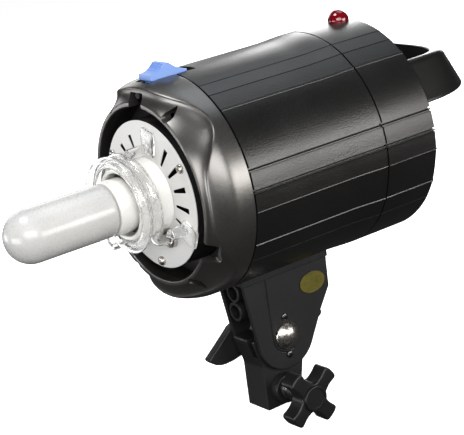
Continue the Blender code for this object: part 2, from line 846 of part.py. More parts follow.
def yoke_outline():
    """One side plate, seen from the side: round the pivot below, wide at the body above."""
    reach_y, reach_z = 44.9 * MM, 66.8 * MM
    away = math.hypot(reach_y - PIVOT_Y, reach_z - PIVOT_Z)
    toward = math.atan2(reach_z - PIVOT_Z, reach_y - PIVOT_Y)
    end = toward - math.acos(YOKE_ARC_R / away) + 2 * math.pi
    arc = circle(YOKE_ARC_R, (PIVOT_Y, PIVOT_Z), 14, math.pi, end - math.pi)
    top = AXIS_Z - 64 * MM
    return [(-22 * MM, top)] + arc + [(reach_y, reach_z), (46 * MM, top)]


def tilt_yoke(black):
    """Two side plates under a saddle, and two umbrella bores between them."""
    width = PLATE_OUTER_X - PLATE_INNER_X
    middle = (PLATE_OUTER_X + PLATE_INNER_X) / 2
    yoke = plate("tilt_yoke", black, yoke_outline(), width, (middle, 0, 0), SIDE_VIEW)
    left = plate("left_plate", black, yoke_outline(), width, (-middle, 0, 0), SIDE_VIEW)
    saddle = box("saddle", black, (2 * PLATE_OUTER_X, 68 * MM, 10 * MM), (0, 12 * MM, 90.5 * MM))
    length = UMBRELLA_REAR_Y - UMBRELLA_FRONT_Y
    centre = (UMBRELLA_REAR_Y + UMBRELLA_FRONT_Y) / 2
    web = box("web", black, (4 * MM, length, 24 * MM), (0, centre, 75.7 * MM))
    join(yoke, left, saddle, web)
    for z in UMBRELLA_Z:
        join(yoke, cylinder("sleeve", black, UMBRELLA_R, length, (0, centre, z), FORWARD, 20))
    for z in UMBRELLA_Z:
        cut(yoke, cylinder("bore", black, UMBRELLA_BORE_R, length + 20 * MM, (0, centre, z), FORWARD, 20))
    cut(yoke, cylinder("head_round", black, HEAD_R + GAP, 120 * MM, (0, 10 * MM, AXIS_Z), FORWARD, 120))
    pivot = (0, PIVOT_Y, PIVOT_Z)
    cut(yoke, cylinder("pivot_hole", black, BOLT_R + GAP, 60 * MM, pivot, RIGHT, 20))
    for side in (-1, 1):
        at = (PLATE_OUTER_X, PIVOT_Y, PIVOT_Z + side * 12.7 * MM)
        cut(yoke, cylinder("cap_screw_hole", black, 1.4 * MM, 8 * MM, at, RIGHT, 10))
    return yoke


def inspection_sticker(gold):
    """A blank oval label, stuck on the side plate."""
    angles = [2 * math.pi * i / 28 for i in range(28)]
    outline = [(10 * MM * math.cos(a), 6.8 * MM * math.sin(a)) for a in angles]
    at = (PLATE_OUTER_X + GAP + 0.15 * MM, 31.7 * MM, 73.5 * MM)
    return plate("inspection_sticker", gold, outline, GAP, at, SIDE_VIEW)


def pivot_bolt(steel):
    start, end = -16 * MM, 13.6 * MM
    centre = ((start + end) / 2, PIVOT_Y, PIVOT_Z)
    return cylinder("pivot_bolt", steel, BOLT_R, end - start, centre, RIGHT, 20)


def pivot_cap(chrome):
    radius, height = 8.3 * MM, 4 * MM
    low = PLATE_OUTER_X + GAP
    ball = (radius**2 + height**2) / (2 * height)
    top = math.asin(radius / ball)
    dome = [
        (ball * math.sin(top * i / 6), low + 0.8 * MM + ball * math.cos(top * i / 6) - ball * math.cos(top))
        for i in range(1, 7)
    ]
    peak = (0, low + 0.8 * MM + height)
    profile = [peak] + dome + [(radius, low), (0, low)]
    return turned("pivot_cap", chrome, profile, (0, PIVOT_Y, PIVOT_Z), RIGHT, 28)


def cap_screws(steel):
    for i, side in enumerate((-1, 1)):
        at = (PLATE_OUTER_X + GAP, PIVOT_Y, PIVOT_Z + side * 12.7 * MM)
        pan_screw(f"cap_screw_{i + 1}", steel, 2.3 * MM, 1.2 * MM, MM, 2.4 * MM, at, RIGHT)


def friction_discs(fibre):
    low, high = KNUCKLE_X + GAP, PLATE_INNER_X - GAP
    for i, turn in enumerate((LEFT, RIGHT)):
        profile = [(DISC_R, low), (DISC_R, high), (BOLT_R + GAP, high), (BOLT_R + GAP, low)]
        turned(f"friction_disc_{i + 1}", fibre, profile, (0, PIVOT_Y, PIVOT_Z), turn, 24)


def tilt_lever(black):
    """A hub on the bolt with a blade that reaches forward and down."""
    hub_r, thickness = 10.5 * MM, 6 * MM
    blade = [
        (2.5 * MM, 56 * MM),
        (-10 * MM, 55.8 * MM),
        (-22 * MM, 51 * MM),
        (-31 * MM, 43.8 * MM),
        (-37.2 * MM, 37 * MM),
        (-35.6 * MM, 34.6 * MM),
        (-28 * MM, 29.4 * MM),
        (-19 * MM, 29.2 * MM),
        (-9 * MM, 30.8 * MM),
        (1 * MM, 34.8 * MM),
    ]
    outer = -PLATE_OUTER_X - GAP - thickness
    middle = outer + thickness / 2
    lever = plate("tilt_lever", black, blade, thickness, (middle, 0, 0), SIDE_VIEW)
    hub = cylinder("hub", black, hub_r, thickness, (middle, PIVOT_Y, PIVOT_Z), RIGHT, 28)
    socket = cylinder("socket", black, BOLT_R + GAP, 4 * MM, (-15.8 * MM, PIVOT_Y, PIVOT_Z), RIGHT, 20)
    join(lever, hub)
    cut(lever, socket)
    return lever


# ---------------------------------------------------------------- stand adapter and knob


def stand_adapter(black):
    """The block that takes the stand's spigot, with a knuckle on the tilt bolt."""
    outline = [
        (-13.5 * MM, 0),
        (-12.8 * MM, 30 * MM),
        (-17.5 * MM, 46 * MM),
        (-17.5 * MM, 48.5 * MM),
        (10 * MM, 48.5 * MM),
        (18.9 * MM, 40 * MM),
        (18.9 * MM, 25 * MM),
        (13.2 * MM, 0),
    ]
    adapter = plate("stand_adapter", black, outline, 2 * ADAPTER_X, (0, 0, 0), SIDE_VIEW)
    pocket_x = (ADAPTER_X + KNUCKLE_X) / 2 + MM
    pocket_w = ADAPTER_X - KNUCKLE_X + 2 * MM
    for side in (-1, 1):
        pocket = cylinder("pocket", black, DISC_R + 0.5 * MM, pocket_w, (0, PIVOT_Y, PIVOT_Z), RIGHT, 24)
        pocket.location.x = side * pocket_x
        cut(adapter, pocket)
    knuckle = cylinder("knuckle", black, KNUCKLE_R, 2 * KNUCKLE_X, (0, PIVOT_Y, PIVOT_Z), RIGHT, 32)
    boss = cylinder("boss", black, BOSS_R, 8 * MM, (BOSS_X - 4 * MM, 0, KNOB_Z), RIGHT, 24)
    join(adapter, knuckle, boss)
    socket = cylinder("socket", black, SOCKET_R, 2 * SOCKET_DEPTH, (0, 0, 0), UP, 32)
    bolt_hole = cylinder("bolt_hole", black, BOLT_R + GAP, 30 * MM, (0, PIVOT_Y, PIVOT_Z), RIGHT, 20)
    bush_hole = cylinder("bush_hole", black, 6.8 * MM, 8 * MM, (BOSS_X - 2 * MM, 0, KNOB_Z), RIGHT, 20)
    screw_hole = cylinder("screw_hole", black, 4.3 * MM, 14 * MM, (11 * MM, 0, KNOB_Z), RIGHT, 20)
    cut(adapter, socket, bolt_hole, bush_hole, screw_hole)
    return adapter


def knob_bush(steel):
    low, high = 11 * MM + GAP, BOSS_X + 0.4 * MM
    profile = [(6.5 * MM, low), (6.5 * MM, high), (4.3 * MM, high), (4.3 * MM, low)]
    return turned("knob_bush", steel, profile, (0, 0, KNOB_Z), RIGHT, 20)


def star_radius(angle):
    """Outline of the star: four blunt arms with hollows between."""
    wave = 0.5 + 0.5 * math.cos(STAR_ARMS * (angle - STAR_PHASE))
    return (9.5 + 11 * wave**1.3 / (wave**1.3 + 0.45 * (1 - wave))) * MM


def stand_knob(black):
    steps = 64
    outline = []
    for i in range(steps):
        angle = 2 * math.pi * i / steps
        radius = star_radius(angle)
        outline.append((radius * math.cos(angle), radius * math.sin(angle)))
    star = plate("stand_knob", black, outline, 11.5 * MM, (36.75 * MM, 0, KNOB_Z), SIDE_VIEW)
    hub = cylinder("hub", black, 8.3 * MM, 4 * MM, (42.5 * MM, 0, KNOB_Z), RIGHT, 24)
    neck = cylinder("neck", black, 6.4 * MM, 12 * MM, (27.5 * MM, 0, KNOB_Z), RIGHT, 20)
    bore = cylinder("bore", black, 4.2 * MM, 20 * MM, (30 * MM, 0, KNOB_Z), RIGHT, 20)
    join(star, hub, neck)
    cut(star, bore)
    return star


def knob_screw(steel):
    start, end = 10.3 * MM, 39.6 * MM
    return cylinder("knob_screw", steel, 3.9 * MM, end - start, ((start + end) / 2, 0, KNOB_Z), RIGHT, 20)


def clamp_pad(brass):
    start, end = 8.3 * MM, 10 * MM
    return cylinder("clamp_pad", brass, 3.8 * MM, end - start, ((start + end) / 2, 0, KNOB_Z), RIGHT, 20)


# ---------------------------------------------------------------- assembly


def build_head(black, steel, white, chrome, clear):
    front_bezel(black)
    bayonet_ring(steel)
    plate_drum(black)
    reflector_plate(white)
    plate_screws(steel)
    bezel_screws(steel)
    socket_shroud(white)
    lamp_socket(white)
    lamp_base(material("lamp_base", (0.8, 0.79, 0.76), 0.4))
    modelling_lamp(material("frosted_glass", (0.93, 0.93, 0.92), 0.3))
    flash_tube(clear)
    tube_ferrules(chrome)
    tube_clips(clear)
    body_shell(black)
    rear_cap(black)
    rear_panel(black)
    carry_handle(black)
    slave_sensor_dome(material("red_window", (0.5, 0.01, 0.04), 0.1))
    front_bulkhead(steel)
    chassis_tray(steel)


def build_electrics(black):
    sleeve = material("capacitor_sleeve", (0.05, 0.09, 0.25), 0.4)
    main_capacitors(sleeve)
    discharge_capacitor(sleeve)
    power_board(material("board", (0.03, 0.2, 0.08), 0.5))
    choke(material("varnish", (0.3, 0.16, 0.05), 0.4))
    trigger_coil(material("coil_tape", (0.7, 0.55, 0.1), 0.5))
    fan_frame(black)


def build_controls(black, steel):
    mains_inlet(black)
    fuse_cap(black)
    sync_jack(steel)
    ready_light(material("ready_lens", (0.1, 0.6, 0.15), 0.2))
    hang("fan_axis", panel_point((0, FAN_Z), 89 * MM), fan_rotor(black))
    hang("rocker_axis", panel_point(ROCKER_AT, ROCKER_PIVOT_Y), power_rocker(black))
    hang("dial_axis", panel_point(DIAL_AT, PANEL_Y), output_dial(black))
    hang("test_axis", panel_point(TEST_AT, PANEL_Y), push_button("test_button", black, TEST_AT))
    lamp_button = push_button("lamp_button", black, LAMP_BUTTON_AT)
    hang("lamp_button_axis", panel_point(LAMP_BUTTON_AT, PANEL_Y), lamp_button)
    blue = material("release_blue", (0.13, 0.3, 0.8), 0.4)
    hang("release_axis", (0, SEAM_Y, AXIS_Z + 60 * MM), bayonet_release(blue), latch_pin(steel))
    release_spring(steel)


def build_bracket(black, steel, chrome):
    tilt_yoke(black)
    inspection_sticker(material("sticker_gold", (0.45, 0.38, 0.06), 0.35, 0.4))
    pivot_cap(chrome)
    cap_screws(steel)
    hang("lever_axis", (0, PIVOT_Y, PIVOT_Z), tilt_lever(black), pivot_bolt(steel))
    friction_discs(material("fibre", (0.12, 0.11, 0.1), 0.9))
    stand_adapter(black)
    knob_bush(steel)
    hang("knob_axis", (0, 0, KNOB_Z), stand_knob(black), knob_screw(steel))
    clamp_pad(material("brass", (0.6, 0.45, 0.15), 0.35, 1.0))


def build():
    black = material("body_black", (0.03, 0.03, 0.032), 0.45)
    steel = material("steel", (0.6, 0.6, 0.6), 0.35, 1.0)
    white = material("reflector_white", (0.8, 0.8, 0.8), 0.4)
    chrome = material("chrome", (0.8, 0.8, 0.82), 0.08, 1.0)
    clear = material("clear_glass", (0.9, 0.9, 0.9), 0.05, 0.0, 0.35)
    build_head(black, steel, white, chrome, clear)
    build_electrics(black)
    build_controls(black, steel)
    build_bracket(black, steel, chrome)


clear_scene()
PARTS = make_collection("monolight_strobe")
GUIDES = make_collection("cutters")
build()
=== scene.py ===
"""Looks of the monolight strobe: detailed meshes, materials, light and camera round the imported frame.

Frame: metres, +Z up, the head shines along -Y, the star knob is on +X. The head's axis is x = 0, z = AXIS_Z.
"""

import json
import math

import bmesh
import bpy
from mathutils import Matrix, Vector


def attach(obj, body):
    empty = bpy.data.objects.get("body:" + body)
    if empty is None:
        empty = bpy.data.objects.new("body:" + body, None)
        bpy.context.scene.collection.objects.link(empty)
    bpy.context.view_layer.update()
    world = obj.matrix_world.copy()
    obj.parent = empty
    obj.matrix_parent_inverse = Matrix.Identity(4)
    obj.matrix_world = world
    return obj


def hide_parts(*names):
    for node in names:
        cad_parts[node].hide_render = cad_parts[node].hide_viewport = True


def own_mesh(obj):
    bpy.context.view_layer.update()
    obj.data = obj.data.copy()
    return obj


MM = 0.001
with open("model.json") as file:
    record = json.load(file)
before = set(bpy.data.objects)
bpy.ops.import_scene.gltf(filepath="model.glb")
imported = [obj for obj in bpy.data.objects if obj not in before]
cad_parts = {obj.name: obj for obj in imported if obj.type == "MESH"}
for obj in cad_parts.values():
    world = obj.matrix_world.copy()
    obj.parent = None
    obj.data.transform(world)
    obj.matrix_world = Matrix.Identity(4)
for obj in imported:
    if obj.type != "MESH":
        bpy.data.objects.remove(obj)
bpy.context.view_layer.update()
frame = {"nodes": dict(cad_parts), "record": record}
scene = bpy.context.scene

# In millimetres, except AXIS_Z, SEAM_Y and the world points HEAD, PIVOT and KNOB, which are in metres.

# The head: angles go round its axis from +X, and depths run forward from the bezel's seam
AXIS = 158
AXIS_Z = AXIS * MM
SEAM_Y = -40 * MM
HEAD = (0, SEAM_Y, AXIS_Z)
HEAD_R = 68.0
INSIDE_R = 65
SHELL_Y = (-39.4, 60.15)
CAP_Y = (61.1, 100.7)
BEZEL_DEPTH = 27.0
MOUTH_R = 53.5
SLOT_ANGLES = (90, -30, 210)
BEZEL_SCREW_ANGLES = (60, -60, 120, -120)
BEZEL_SCREW_R = 58
WELL_R = 3.1
PLATE_DEPTH = 25.7
PLATE_SCREW_ANGLES = (-90, 30, 150)
PLATE_SCREW_R = 41.4
VENT_ANGLES = (112, 72, 52, 32, 12, -8, -28, 132, 152, 172, 192, 212)
TUBE_LEG = (14.9, -24.5)  # x, and height above the axis, of the flash tube's right leg
DIAL_Z = AXIS - 3

# The bracket, seen from the side as (y, z)
PIVOT_YZ = (6.5, 45.8)
PIVOT = (0, PIVOT_YZ[0] * MM, PIVOT_YZ[1] * MM)
CAP_SCREW_GAP = 12.7
KNOB_YZ = (0, 12.5)
KNOB = (0, KNOB_YZ[0] * MM, KNOB_YZ[1] * MM)
UMBRELLA_Z = (80.1, 67.6)
LABEL_YZ = (31.7, 73.5)
PLATE_X = (10.8, 14.0)

# An axis, then the two directions across it
FRONT = (Vector((0, -1, 0)), Vector((1, 0, 0)), Vector((0, 0, 1)))
BACK = (Vector((0, 1, 0)), Vector((1, 0, 0)), Vector((0, 0, 1)))
RIGHT = (Vector((1, 0, 0)), Vector((0, 1, 0)), Vector((0, 0, 1)))
UP = (Vector((0, 0, 1)), Vector((1, 0, 0)), Vector((0, 1, 0)))


# ---------------------------------------------------------------- mesh helpers


def new_object(name, bm, smooth=35):
    """Makes an object of a closed mesh, with its faces outwards and smooth up to this angle."""
    bmesh.ops.recalc_face_normals(bm, faces=bm.faces)
    if bm.calc_volume(signed=True) < 0:
        bmesh.ops.reverse_faces(bm, faces=bm.faces)
    mesh = bpy.data.meshes.new(name)
    bm.to_mesh(mesh)
    bm.free()
    obj = bpy.data.objects.new(name, mesh)
    scene.collection.objects.link(obj)
    mesh.shade_smooth()
    mesh.set_sharp_from_angle(angle=math.radians(smooth))
    return obj


def lathe(name, profile, at, axes, steps=96, smooth=35, shape=None):
    """Turns (radius, distance) points in mm, in order round a closed section, about an axis."""
    axis, u, v = axes
    bm = bmesh.new()
    rings = []
    for r, d in profile:
        centre = Vector(at) + axis * d * MM
        if r == 0:
            rings.append([bm.verts.new(centre)])
            continue
        ring = []
        for i in range(steps):
            a = 2 * math.pi * i / steps
            radius = r * MM * (shape(a, r, d) if shape else 1)
            ring.append(bm.verts.new(centre + (u * math.cos(a) + v * math.sin(a)) * radius))
        rings.append(ring)
    open_ends = len(rings[0]) == 1 and len(rings[-1]) == 1
    pairs = list(zip(rings, rings[1:])) + ([] if open_ends else [(rings[-1], rings[0])])
    for one, two in pairs:
        for i in range(steps):
            j = (i + 1) % steps
            corners = [one[i % len(one)], one[j % len(one)], two[j % len(two)], two[i % len(two)]]
            corners = list(dict.fromkeys(corners))  # a ring on the axis is one point
            if len(corners) > 2:
                bm.faces.new(corners)
    return new_object(name, bm, smooth)


def evaluated_mesh(obj):
    return bpy.data.meshes.new_from_object(obj.evaluated_get(bpy.context.evaluated_depsgraph_get()))


def slab(name, loops, low, high, axes, at=(0, 0, 0), edge=0.4, smooth=35):
    """Outlines in mm across an axis, holes among them, extruded from low to high with rounded edges."""
    axis, u, v = axes
    curve = bpy.data.curves.new(name, "CURVE")
    curve.dimensions = "2D"
    curve.fill_mode = "BOTH"
    curve.extrude = (high - low) / 2 - edge
    curve.bevel_depth = edge
    curve.bevel_resolution = 2
    curve.offset = -edge
    for number, loop in enumerate(loops):
        turn = sum(a[0] * b[1] - b[0] * a[1] for a, b in zip(loop, loop[1:] + loop[:1]))
        if (turn > 0) == (number > 0):
            loop = loop[::-1]  # holes run the other way round, so that their edges round outwards
        spline = curve.splines.new("POLY")
        spline.points.add(len(loop) - 1)
        for point, (a, b) in zip(spline.points, loop):
            point.co = (a, b, 0, 1)
        spline.use_cyclic_u = True
    guide = bpy.data.objects.new(name + "_guide", curve)
    scene.collection.objects.link(guide)
    mesh = evaluated_mesh(guide)
    bpy.data.objects.remove(guide)
    bm = bmesh.new()
    bm.from_mesh(mesh)
    bmesh.ops.remove_doubles(bm, verts=bm.verts, dist=0.01)
    middle = (low + high) / 2
    for vert in bm.verts:
        a, b, c = vert.co
        vert.co = Vector(at) + (u * a + v * b + axis * (c + middle)) * MM
    return new_object(name, bm, smooth)


def block(name, low, high, edge=0.0, turn=None):
    """A box from one corner to the other in mm, with rounded edges; turn is a matrix about the world."""
    bm = bmesh.new()
    size = [(h - l) * MM for l, h in zip(low, high)]
    middle = Vector([(h + l) / 2 * MM for l, h in zip(low, high)])
    bmesh.ops.create_cube(bm, size=1, matrix=Matrix.Translation(middle) @ Matrix.Diagonal((*size, 1)))
    if edge:
        bmesh.ops.bevel(bm, geom=bm.edges[:], offset=edge * MM, segments=3, profile=0.5, affect="EDGES")
    if turn is not None:
        bm.transform(turn)
    return new_object(name, bm)


def sweep(name, points, radius, sides=16):
    """A round bar of this radius in mm along world points in metres, with flat ends."""
    bm = bmesh.new()
    rings = []
    normal = None
    for i, p in enumerate(points):
        ahead = points[min(i + 1, len(points) - 1)]
        behind = points[max(i - 1, 0)]
        tangent = (ahead - behind).normalized()
        if normal is None:
            normal = tangent.orthogonal().normalized()
        normal = (normal - tangent * normal.dot(tangent)).normalized()
        other = tangent.cross(normal)
        ring = []
        for k in range(sides):
            a = 2 * math.pi * k / sides
            ring.append(bm.verts.new(p + (normal * math.cos(a) + other * math.sin(a)) * radius * MM))
        rings.append(ring)
    for one, two in zip(rings, rings[1:]):
        for k in range(sides):
            j = (k + 1) % sides
            bm.faces.new((one[k], one[j], two[j], two[k]))
    bm.faces.new(rings[0])
    bm.faces.new(rings[-1])
    return new_object(name, bm, 50)


def loft(name, loops, closed, smooth=35):
    """Skins loops of world points, one after the other."""
    bm = bmesh.new()
    rows = [[bm.verts.new(p) for p in loop] for loop in loops]
    pairs = list(zip(rows, rows[1:])) + ([(rows[-1], rows[0])] if closed else [])
    for one, two in pairs:
        for i in range(len(one)):
            j = (i + 1) % len(one)
            bm.faces.new((one[i], one[j], two[j], two[i]))
    if not closed:
        bm.faces.new(rows[0])
        bm.faces.new(rows[-1])
    return new_object(name, bm, smooth)


def apply_modifiers(obj, smooth):
    mesh = evaluated_mesh(obj)
    obj.modifiers.clear()
    obj.data = mesh
    mesh.shade_smooth()
    mesh.set_sharp_from_angle(angle=math.radians(smooth))


def carve(obj, cutters, operation="DIFFERENCE", smooth=35):
    """Cuts with other meshes or joins them, one at a time, and removes them."""
    for other in cutters:
        change = obj.modifiers.new("carve", "BOOLEAN")
        change.operation = operation
        change.solver = "MANIFOLD"
        change.object = other
        bpy.context.view_layer.update()
        apply_modifiers(obj, smooth)
        bpy.data.objects.remove(other)


def soften(obj, width):
    bevel = obj.modifiers.new("edges", "BEVEL")
    bevel.width = width * MM
    bevel.segments = 2
    bevel.limit_method = "ANGLE"
    bevel.angle_limit = math.radians(40)


def polar(r, degrees, depth):
    """World point at this radius and angle round the head's axis, this far ahead of the bezel's seam."""
    a = math.radians(degrees)
    return Vector((r * math.cos(a) * MM, SEAM_Y - depth * MM, AXIS_Z + r * math.sin(a) * MM))


def about_head(degrees):
    """Turns what is drawn at 0 degrees, on +X, round to this angle."""
    centre = Matrix.Translation((0, 0, AXIS_Z))
    return centre @ Matrix.Rotation(-math.radians(degrees), 4, "Y") @ centre.inverted()


def oval(reach_x, reach_y, centre=(0, 0), steps=32):
    turns = [2 * math.pi * i / steps for i in range(steps)]
    return [(centre[0] + reach_x * math.cos(a), centre[1] + reach_y * math.sin(a)) for a in turns]


def circle(r, centre=(0, 0), steps=32):
    return oval(r, r, centre, steps)


def rounded(points, radius, steps=4):
    """An outline with each corner rounded by a short curve."""
    out = []
    for i, corner in enumerate(points):
        c = Vector(corner)
        a = Vector(points[i - 1])
        b = Vector(points[(i + 1) % len(points)])
        reach = min(radius, (a - c).length * 0.45, (b - c).length * 0.45)
        start = c + (a - c).normalized() * reach
        end = c + (b - c).normalized() * reach
        for k in range(steps + 1):
            t = k / steps
            out.append(tuple(start * (1 - t) ** 2 + c * 2 * t * (1 - t) + end * t * t))
    return out


# ---------------------------------------------------------------- materials


class Nodes:
    """Short ways to make and join a material's nodes."""

    def __init__(self, name):
        self.mat = bpy.data.materials.new(name)
        self.mat.use_nodes = True
        self.tree = self.mat.node_tree
        self.shader = self.tree.nodes["Principled BSDF"]
        self.coords = self.tree.nodes.new("ShaderNodeTexCoord").outputs["Object"]

    def noise(self, scale, detail=2.0):
        node = self.tree.nodes.new("ShaderNodeTexNoise")
        node.inputs["Scale"].default_value = scale
        node.inputs["Detail"].default_value = detail
        self.join(self.coords, node.inputs["Vector"])
        return node.outputs["Fac"]

    def map(self, value, low, high, start=0.3, end=0.7):
        node = self.tree.nodes.new("ShaderNodeMapRange")
        node.inputs["From Min"].default_value = start
        node.inputs["From Max"].default_value = end
        node.inputs["To Min"].default_value = low
        node.inputs["To Max"].default_value = high
        self.join(value, node.inputs["Value"])
        return node.outputs["Result"]

    def add(self, one, two):
        node = self.tree.nodes.new("ShaderNodeMath")
        self.join(one, node.inputs[0])
        self.join(two, node.inputs[1])
        return node.outputs[0]

    def colour(self, value, one, two):
        """Base colour that goes from one to the other as the value goes from 0 to 1."""
        node = self.tree.nodes.new("ShaderNodeMix")
        node.data_type = "RGBA"
        node.inputs["A"].default_value = (*one, 1)
        node.inputs["B"].default_value = (*two, 1)
        self.join(value, node.inputs["Factor"])
        self.join(node.outputs["Result"], self.shader.inputs["Base Color"])

    def rough(self, value, low, high, start=0.3, end=0.7):
        self.join(self.map(value, low, high, start, end), self.shader.inputs["Roughness"])

    def bump(self, height, strength, depth):
        node = self.tree.nodes.new("ShaderNodeBump")
        node.inputs["Strength"].default_value = strength
        node.inputs["Distance"].default_value = depth
        self.join(height, node.inputs["Height"])
        self.join(node.outputs["Normal"], self.shader.inputs["Normal"])

    def join(self, output, socket):
        self.tree.links.new(output, socket)

    def set(self, **values):
        for key, value in values.items():
            self.shader.inputs[key.replace("_", " ")].default_value = value


def shade(colour, factor):
    return tuple(min(1.0, c * factor) for c in colour)


def surface(name, colour, rough, grain=1500, relief=0.3, depth=0.05, tint=0.12, spread=0.05, **values):
    """Moulded or painted stuff: fine grain in the relief, slow change in colour and gloss."""
    n = Nodes(name)
    fine = n.noise(grain, 3.0)
    slow = n.noise(22, 2.0)
    mixed = n.add(fine, slow)
    n.colour(n.map(mixed, 0, 1, 0.7, 1.3), shade(colour, 1 - tint), shade(colour, 1 + tint))
    n.rough(mixed, rough - spread, rough + spread, 0.7, 1.3)
    n.bump(fine, relief, depth * MM)
    n.set(**values)
    return n.mat


def metal(name, colour, rough, relief=0.1):
    """Metal with fine scratches."""
    n = Nodes(name)
    lines = n.noise(900, 3.0)
    n.colour(n.map(n.noise(40), 0, 1), shade(colour, 0.92), shade(colour, 1.05))
    n.rough(lines, rough * 0.7, rough * 1.3)
    n.bump(lines, relief, 0.02 * MM)
    n.set(Metallic=1.0)
    return n.mat


def clear(name, colour, rough, wave, scale=220):
    """Clear glass or plastic, with slight waves left by its making."""
    n = Nodes(name)
    wobble = n.noise(scale)
    n.colour(n.map(wobble, 0, 1), colour, shade(colour, 0.96))
    n.rough(n.noise(900), rough * 0.6, rough * 1.6)
    n.bump(wobble, wave, 0.4 * MM)
    n.set(Transmission_Weight=0.96, IOR=1.46)
    return n.mat


MATS = {
    "body_black": surface(
        "body_paint", (0.006, 0.0059, 0.0057), 0.33, 1000, 0.9, 0.1, Specular_IOR_Level=0.6,
    ),
    "bezel": surface("bezel_paint", (0.165, 0.161, 0.156), 0.33, 1200, 0.6, 0.08, Metallic=0.92),
    "panel_black": surface(
        "panel_paint", (0.010, 0.010, 0.010), 0.55, 1500, 0.4, 0.08, Specular_IOR_Level=0.35,
    ),
    "bracket_black": surface(
        "filled_nylon", (0.0115, 0.0115, 0.0128), 0.46, 1400, 0.6, 0.1, Specular_IOR_Level=0.42,
    ),
    "control_black": surface(
        "control_plastic", (0.007, 0.007, 0.0082), 0.42, 1600, 0.3, Specular_IOR_Level=0.45,
    ),
    "zinc_steel": metal("zinc_plate", (0.45, 0.45, 0.44), 0.34),
    "chrome": metal("chrome_plate", (0.55, 0.52, 0.48), 0.28, relief=0.01),
    "dark_screw": metal("blackened_steel", (0.12, 0.12, 0.12), 0.35),
    "release_blue": surface("release_plastic", (0.17, 0.30, 0.68), 0.38, 1500, 0.2, 0.04, 0.05),
    "reflector_white": surface("white_enamel", (0.68, 0.68, 0.67), 0.35, 900, 0.25, 0.05, 0.02),
    "shroud_white": surface(
        "ceramic_white", (0.86, 0.85, 0.82), 0.25, 700, 0.12, 0.04, 0.02, Coat_Weight=0.3,
    ),
    "red_window": surface(
        "red_window", (0.20, 0.001, 0.006), 0.1, 400, 0.05, 0.05, 0.15, 0.03,
        Transmission_Weight=0.25, Coat_Weight=0.6, IOR=1.5,
    ),
    "capacitor_sleeve": surface("shrink_sleeve", (0.03, 0.06, 0.2), 0.35, 500, 0.1),
    "board_green": surface("solder_mask", (0.02, 0.16, 0.07), 0.4, 700, 0.3),
    "choke_iron": surface("varnish", (0.2, 0.1, 0.04), 0.35, 300, 0.5),
    "coil_tape": surface("winding_tape", (0.65, 0.5, 0.08), 0.45, 400, 0.2),
    "ready_lens": surface("ready_lens", (0.05, 0.5, 0.1), 0.15, 500, 0.1, Transmission_Weight=0.3),
    "fibre": surface("pressed_fibre", (0.1, 0.09, 0.08), 0.85, 900, 0.8, 0.1),
    "brass": metal("turned_brass", (0.65, 0.48, 0.2), 0.3),
    "clear_glass": clear("quartz", (0.985, 0.985, 0.98), 0.03, 0.03),
    "clear_plastic": clear("clear_plastic", (0.95, 0.95, 0.945), 0.14, 0.1, 160),
}


def frosted_glass():
    """Opal lamp glass: white coat inside, smooth skin outside."""
    n = Nodes("opal_glass")
    cloud = n.noise(60, 3.0)
    n.colour(n.map(cloud, 0, 1), (0.55, 0.55, 0.545), (0.59, 0.59, 0.585))
    n.rough(n.noise(800), 0.24, 0.34)
    n.bump(n.noise(1500), 0.04, 0.02 * MM)
    n.set(Subsurface_Weight=0.5, Subsurface_Radius=(1, 1, 1), Subsurface_Scale=0.006)
    n.set(Coat_Weight=0.25, Coat_Roughness=0.1)
    return n.mat


def sticker_foil():
    """Blank gold-green foil, slightly creased."""
    n = Nodes("gold_foil")
    crease = n.noise(160, 3.0)
    n.colour(n.map(crease, 0, 1), (0.115, 0.10, 0.018), (0.17, 0.15, 0.03))
    n.rough(n.noise(700), 0.3, 0.5)
    n.bump(crease, 0.2, 0.1 * MM)
    n.set(Metallic=0.45)
    return n.mat


MATS["frosted_glass"] = frosted_glass()
MATS["sticker_gold"] = sticker_foil()
MATS["lamp_base"] = MATS["shroud_white"]
CLEAR = ("clear_glass", "clear_plastic", "frosted_glass")
SLOT_OF = {p["node"]: p["material_slot"] for p in frame["record"]["subparts"]}
SHADE_PAINTED_STEEL = {"bayonet_ring": "panel_black", "latch_pin": "panel_black"}  # steel hidden in the bayonet slots, given black paint as painted shade so that it shows dark and does not glint


def finish_piece(obj, mat, body, nodes=()):
    """Gives a piece its material, its body, and the CAD nodes it stands for."""
    obj.data.materials.clear()
    obj.data.materials.append(MATS[mat])
    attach(obj, body)
    if nodes:
        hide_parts(*nodes)
    if mat not in CLEAR:
        even = obj.modifiers.new("even_shading", "WEIGHTED_NORMAL")
        even.keep_sharp = True
    return obj


# ---------------------------------------------------------------- front bezel


def fillet(before, corner, after, reach, steps=4):
    """Points of a short curve that rounds this corner."""
    c = Vector(corner)
    a = Vector(before) - c
    b = Vector(after) - c
    start = c + a.normalized() * min(reach, a.length * 0.5)
    end = c + b.normalized() * min(reach, b.length * 0.5)
    points = []
    for i in range(steps + 1):
        t = i / steps
        points.append(start * (1 - t) ** 2 + c * 2 * t * (1 - t) + end * t * t)
    return points


